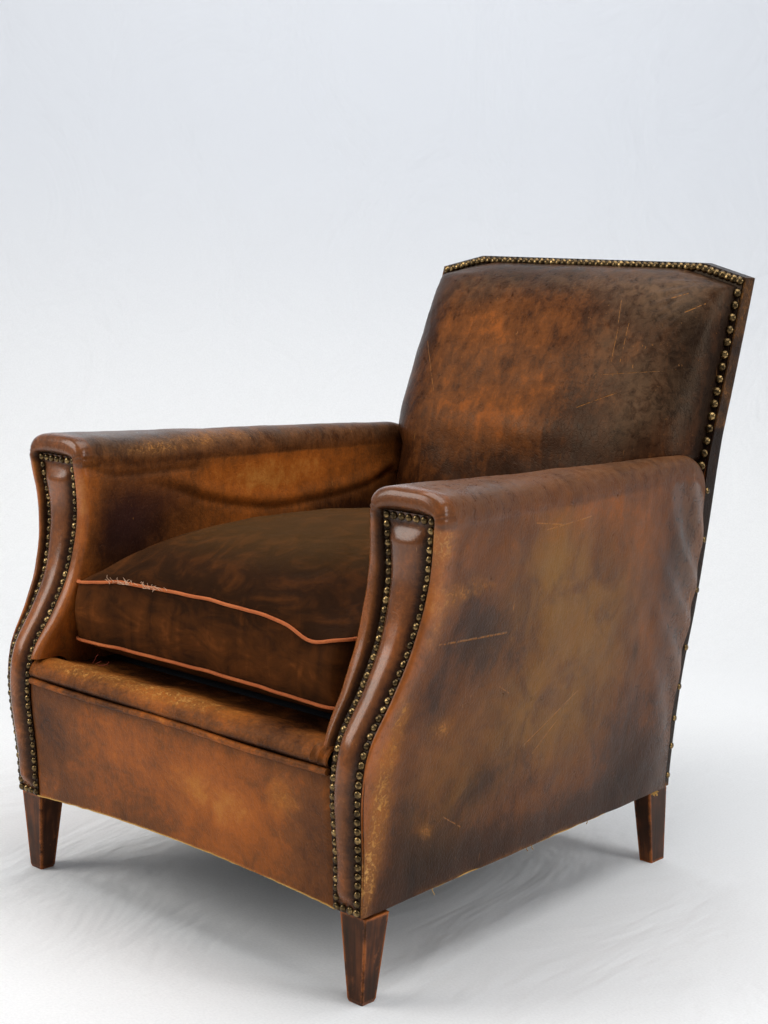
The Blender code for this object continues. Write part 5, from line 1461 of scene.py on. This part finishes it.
# Long scratches: two ends, a width, and the axes that count
SIDE, BACK = (0.0, 1.0, 1.0), (1.0, 0.0, 1.0)
NEAR_SCRATCHES = [
    ((0.3, 0.264, 0.509), (0.3, 0.373, 0.514), 0.0011, SIDE), ((0.3, 0.076, 0.402), (0.3, 0.209, 0.395), 0.0017, SIDE),
    ((0.3, 0.278, 0.244), (0.3, 0.391, 0.291), 0.0011, SIDE), ((0.3, 0.130, 0.190), (0.3, 0.165, 0.170), 0.0010, SIDE),
    ((0.3, 0.300, 0.230), (0.3, 0.350, 0.262), 0.0009, SIDE), ((0.3, 0.240, 0.520), (0.3, 0.300, 0.512), 0.0010, SIDE),
    ((0.3, 0.210, 0.330), (0.3, 0.232, 0.318), 0.0009, SIDE),
]
BACK_SCRATCHES = [
    ((0.131, 0.0, 0.728), (0.138, 0.0, 0.681), 0.0009, BACK), ((0.103, 0.0, 0.617), (0.159, 0.0, 0.641), 0.0010, BACK),
    ((0.222, 0.0, 0.754), (0.240, 0.0, 0.766), 0.0010, BACK), ((0.124, 0.0, 0.663), (0.215, 0.0, 0.674), 0.0005, BACK),
    ((0.118, 0.0, 0.765), (0.128, 0.0, 0.735), 0.0008, BACK), ((-0.205, 0.0, 0.690), (-0.160, 0.0, 0.620), 0.0009, BACK),
    ((0.145, 0.0, 0.735), (0.150, 0.0, 0.700), 0.0007, BACK), ((0.196, 0.0, 0.772), (0.215, 0.0, 0.779), 0.0010, BACK),
]

# Materials of the pieces and of the frame that is left as it is

LEATHERS = {
    "arm_left": leather("arm_hide_left", base=0.45, spread=0.44, gloss=0.36, streak=0.20),
    "arm_right": leather("arm_hide_right", base=0.42, spread=0.34, gloss=0.34, streak=0.14, scratches=NEAR_SCRATCHES),
    "strip": leather("strip_hide", base=0.38, spread=0.44, gloss=0.30, grain=0.8),
    "apron": leather("apron_hide", base=0.53, spread=0.44, gloss=0.38),
    "welt": leather("welt_hide", base=0.52, spread=0.95, gloss=0.45),
    "lip": leather("lip_hide", base=0.50, spread=0.60, gloss=0.42, grain=1.5),
    "back": leather("back_hide", base=0.27, spread=0.44, gloss=0.32, grain=0.6, streak=0.46, scratches=BACK_SCRATCHES),
    "dark": leather("dark_hide", base=0.03, spread=0.20, gloss=0.36),
    "velvet": velvet("velvet_pile"),
    "piping": weave("piping_cord", 0.0009, tone(170, 80, 34), tone(230, 132, 70)),
    "fray": weave("frayed_cotton", 0.0009, tone(214, 168, 132), tone(236, 206, 176)),
    "straw": weave("torn_canvas", 0.0009, tone(196, 148, 72), tone(226, 184, 108)),
    "red": weave("red_thread", 0.0009, tone(120, 40, 30), tone(160, 62, 44)),
    "jute": weave("strap_jute", 0.0022, tone(120, 92, 58), tone(178, 146, 100)),
    "deck": weave("deck_weave", 0.0010, tone(28, 32, 40), tone(58, 62, 72)),
    "dust": weave("dust_weave", 0.0008, tone(18, 18, 18), tone(40, 38, 36)),
    "brass": brass("old_brass"),
}


def dress_frame():
    """Finishes for the CAD pieces that stay as they are."""
    finishes = {
        "dark_wood": wood("stained_beech"),
        "beech_frame": wood("raw_beech", dark=False),
        "jute_webbing": weave("jute", 0.0022, tone(120, 92, 58), tone(178, 146, 100)),
        "hessian": weave("hessian_cloth", 0.0016, tone(112, 88, 56), tone(168, 138, 94)),
        "spring_steel": steel("old_spring_steel"),
        "horsehair": fibre("curled_hair", tone(60, 46, 32), tone(120, 98, 70)),
    }
    slots = {part["node"]: part["material_slot"] for part in frame["record"]["subparts"]}
    for name, node in frame["nodes"].items():
        finish = finishes.get(slots[name])
        if finish is None:
            continue
        if not node.data.materials:
            node.data.materials.append(finish)
        for k in range(len(node.data.materials)):
            node.data.materials[k] = finish


# Stage, light and camera

def stage():
    f = Finish("pale_cloth")
    folds = f.noise(1.0, 4.0, 0.6, f.scaled((5.0, 2.2, 3.0), (0.0, 0.0, 0.9)), twist=0.6)
    cloth = f.ramp(f.noise(300.0, 2.0), [(0.3, tone(238, 238, 237)), (0.7, tone(246, 246, 245))])
    height = f.node("ShaderNodeSeparateXYZ")
    f.link(f.place, height.inputs[0])
    f.put("Base Color", f.blend(f.limit(height.outputs["Z"], 0.1, 1.2), cloth, tone(221, 224, 229)))
    f.shader.inputs["Roughness"].default_value = 0.95
    f.shader.inputs["Specular IOR Level"].default_value = 0.1
    f.put("Normal", f.bump(folds, 0.030, 0.5))
    # The wall is clear from its back, so that a view from behind still shows the chair
    clear = f.node("ShaderNodeMixShader")
    f.link(f.node("ShaderNodeNewGeometry").outputs["Backfacing"], clear.inputs[0])
    f.link(f.shader.outputs[0], clear.inputs[1])
    f.link(f.node("ShaderNodeBsdfTransparent").outputs[0], clear.inputs[2])
    f.link(clear.outputs[0], f.material.node_tree.nodes["Material Output"].inputs["Surface"])
    section = [(-6.0, 0.0), (1.2, 0.0)]
    section += [(1.2 + 0.8 * sin(t), 0.8 - 0.8 * cos(t)) for t in np.linspace(0, pi / 2, 16)[1:]] + [(2.0, 5.0)]
    turn = radians(41.5)
    points, faces = [], []
    for across in (-7.0, 7.0):
        for along, z in section:
            points.append((across * cos(turn) - along * sin(turn), along * cos(turn) + across * sin(turn), z))
    count = len(section)
    for k in range(count - 1):
        faces.append([k, k + count, k + 1 + count, k + 1])
    mesh = bpy.data.meshes.new("backdrop")
    mesh.from_pydata(points, [], faces)
    mesh.shade_smooth()
    mesh.materials.append(f.material)
    made = bpy.data.objects.new("backdrop", mesh)
    bpy.context.collection.objects.link(made)


def lamp(name, place, target, size, power, colour=(1.0, 1.0, 1.0)):
    light = bpy.data.lights.new(name, "AREA")
    light.shape = "RECTANGLE"
    light.size, light.size_y = size
    light.energy = power
    light.color = colour
    made = bpy.data.objects.new(name, light)
    made.location = place
    made.rotation_mode = "QUATERNION"
    made.rotation_quaternion = (Vector(target) - Vector(place)).to_track_quat("-Z", "Y")
    bpy.context.collection.objects.link(made)


CAMERA_PLACE = (1.4682, -1.3082, 0.8106)
CAMERA_AZIMUTH = 41.473
CAMERA_ELEVATION = 8.450
CAMERA_ROLL = 2.047
CAMERA_LENS = 59.766


def camera():
    az, el, roll = radians(CAMERA_AZIMUTH), radians(CAMERA_ELEVATION), radians(CAMERA_ROLL)
    back = Vector((sin(az) * cos(el), -cos(az) * cos(el), sin(el)))
    right = Vector((cos(az), sin(az), 0.0))
    up = back.cross(right)
    right, up = right * cos(roll) + up * sin(roll), up * cos(roll) - right * sin(roll)
    data = bpy.data.cameras.new("camera")
    data.lens = CAMERA_LENS
    data.sensor_width = 36.0
    made = bpy.data.objects.new("camera", data)
    made.matrix_world = Matrix((
        (right.x, up.x, back.x, CAMERA_PLACE[0]),
        (right.y, up.y, back.y, CAMERA_PLACE[1] + FRONT),
        (right.z, up.z, back.z, CAMERA_PLACE[2]),
        (0.0, 0.0, 0.0, 1.0),
    ))
    bpy.context.collection.objects.link(made)
    bpy.context.scene.camera = made


def light():
    world = bpy.data.worlds.new("room")
    world.use_nodes = True
    world.node_tree.nodes["Background"].inputs["Color"].default_value = tone(222, 228, 238)
    world.node_tree.nodes["Background"].inputs["Strength"].default_value = 0.30
    bpy.context.scene.world = world
    centre = (0.0, 0.0, 0.35)
    lamp("window_left", (-1.7, -2.3, 1.9), centre, (1.5, 1.8), 41.0, (1.0, 0.98, 0.95))
    lamp("window_right", (2.9, 0.6, 1.6), centre, (1.2, 1.8), 32.0, (0.97, 0.98, 1.0))
    lamp("ceiling", (0.2, 0.0, 2.7), centre, (2.4, 2.4), 54.0)
    bpy.context.scene.view_settings.view_transform = "Standard"


camera()
light()
stage()
dress_frame()
for side in (-1, 1):
    arm(side)
    facing_strip(side)
front_apron()
front_welt()
seat_lip()
seat_deck()
bottom_cloth()
inside_back()
back_nails()
outside_back()
side_nails()
cushion()
long_straps()
cut_edges()
loose_ends()
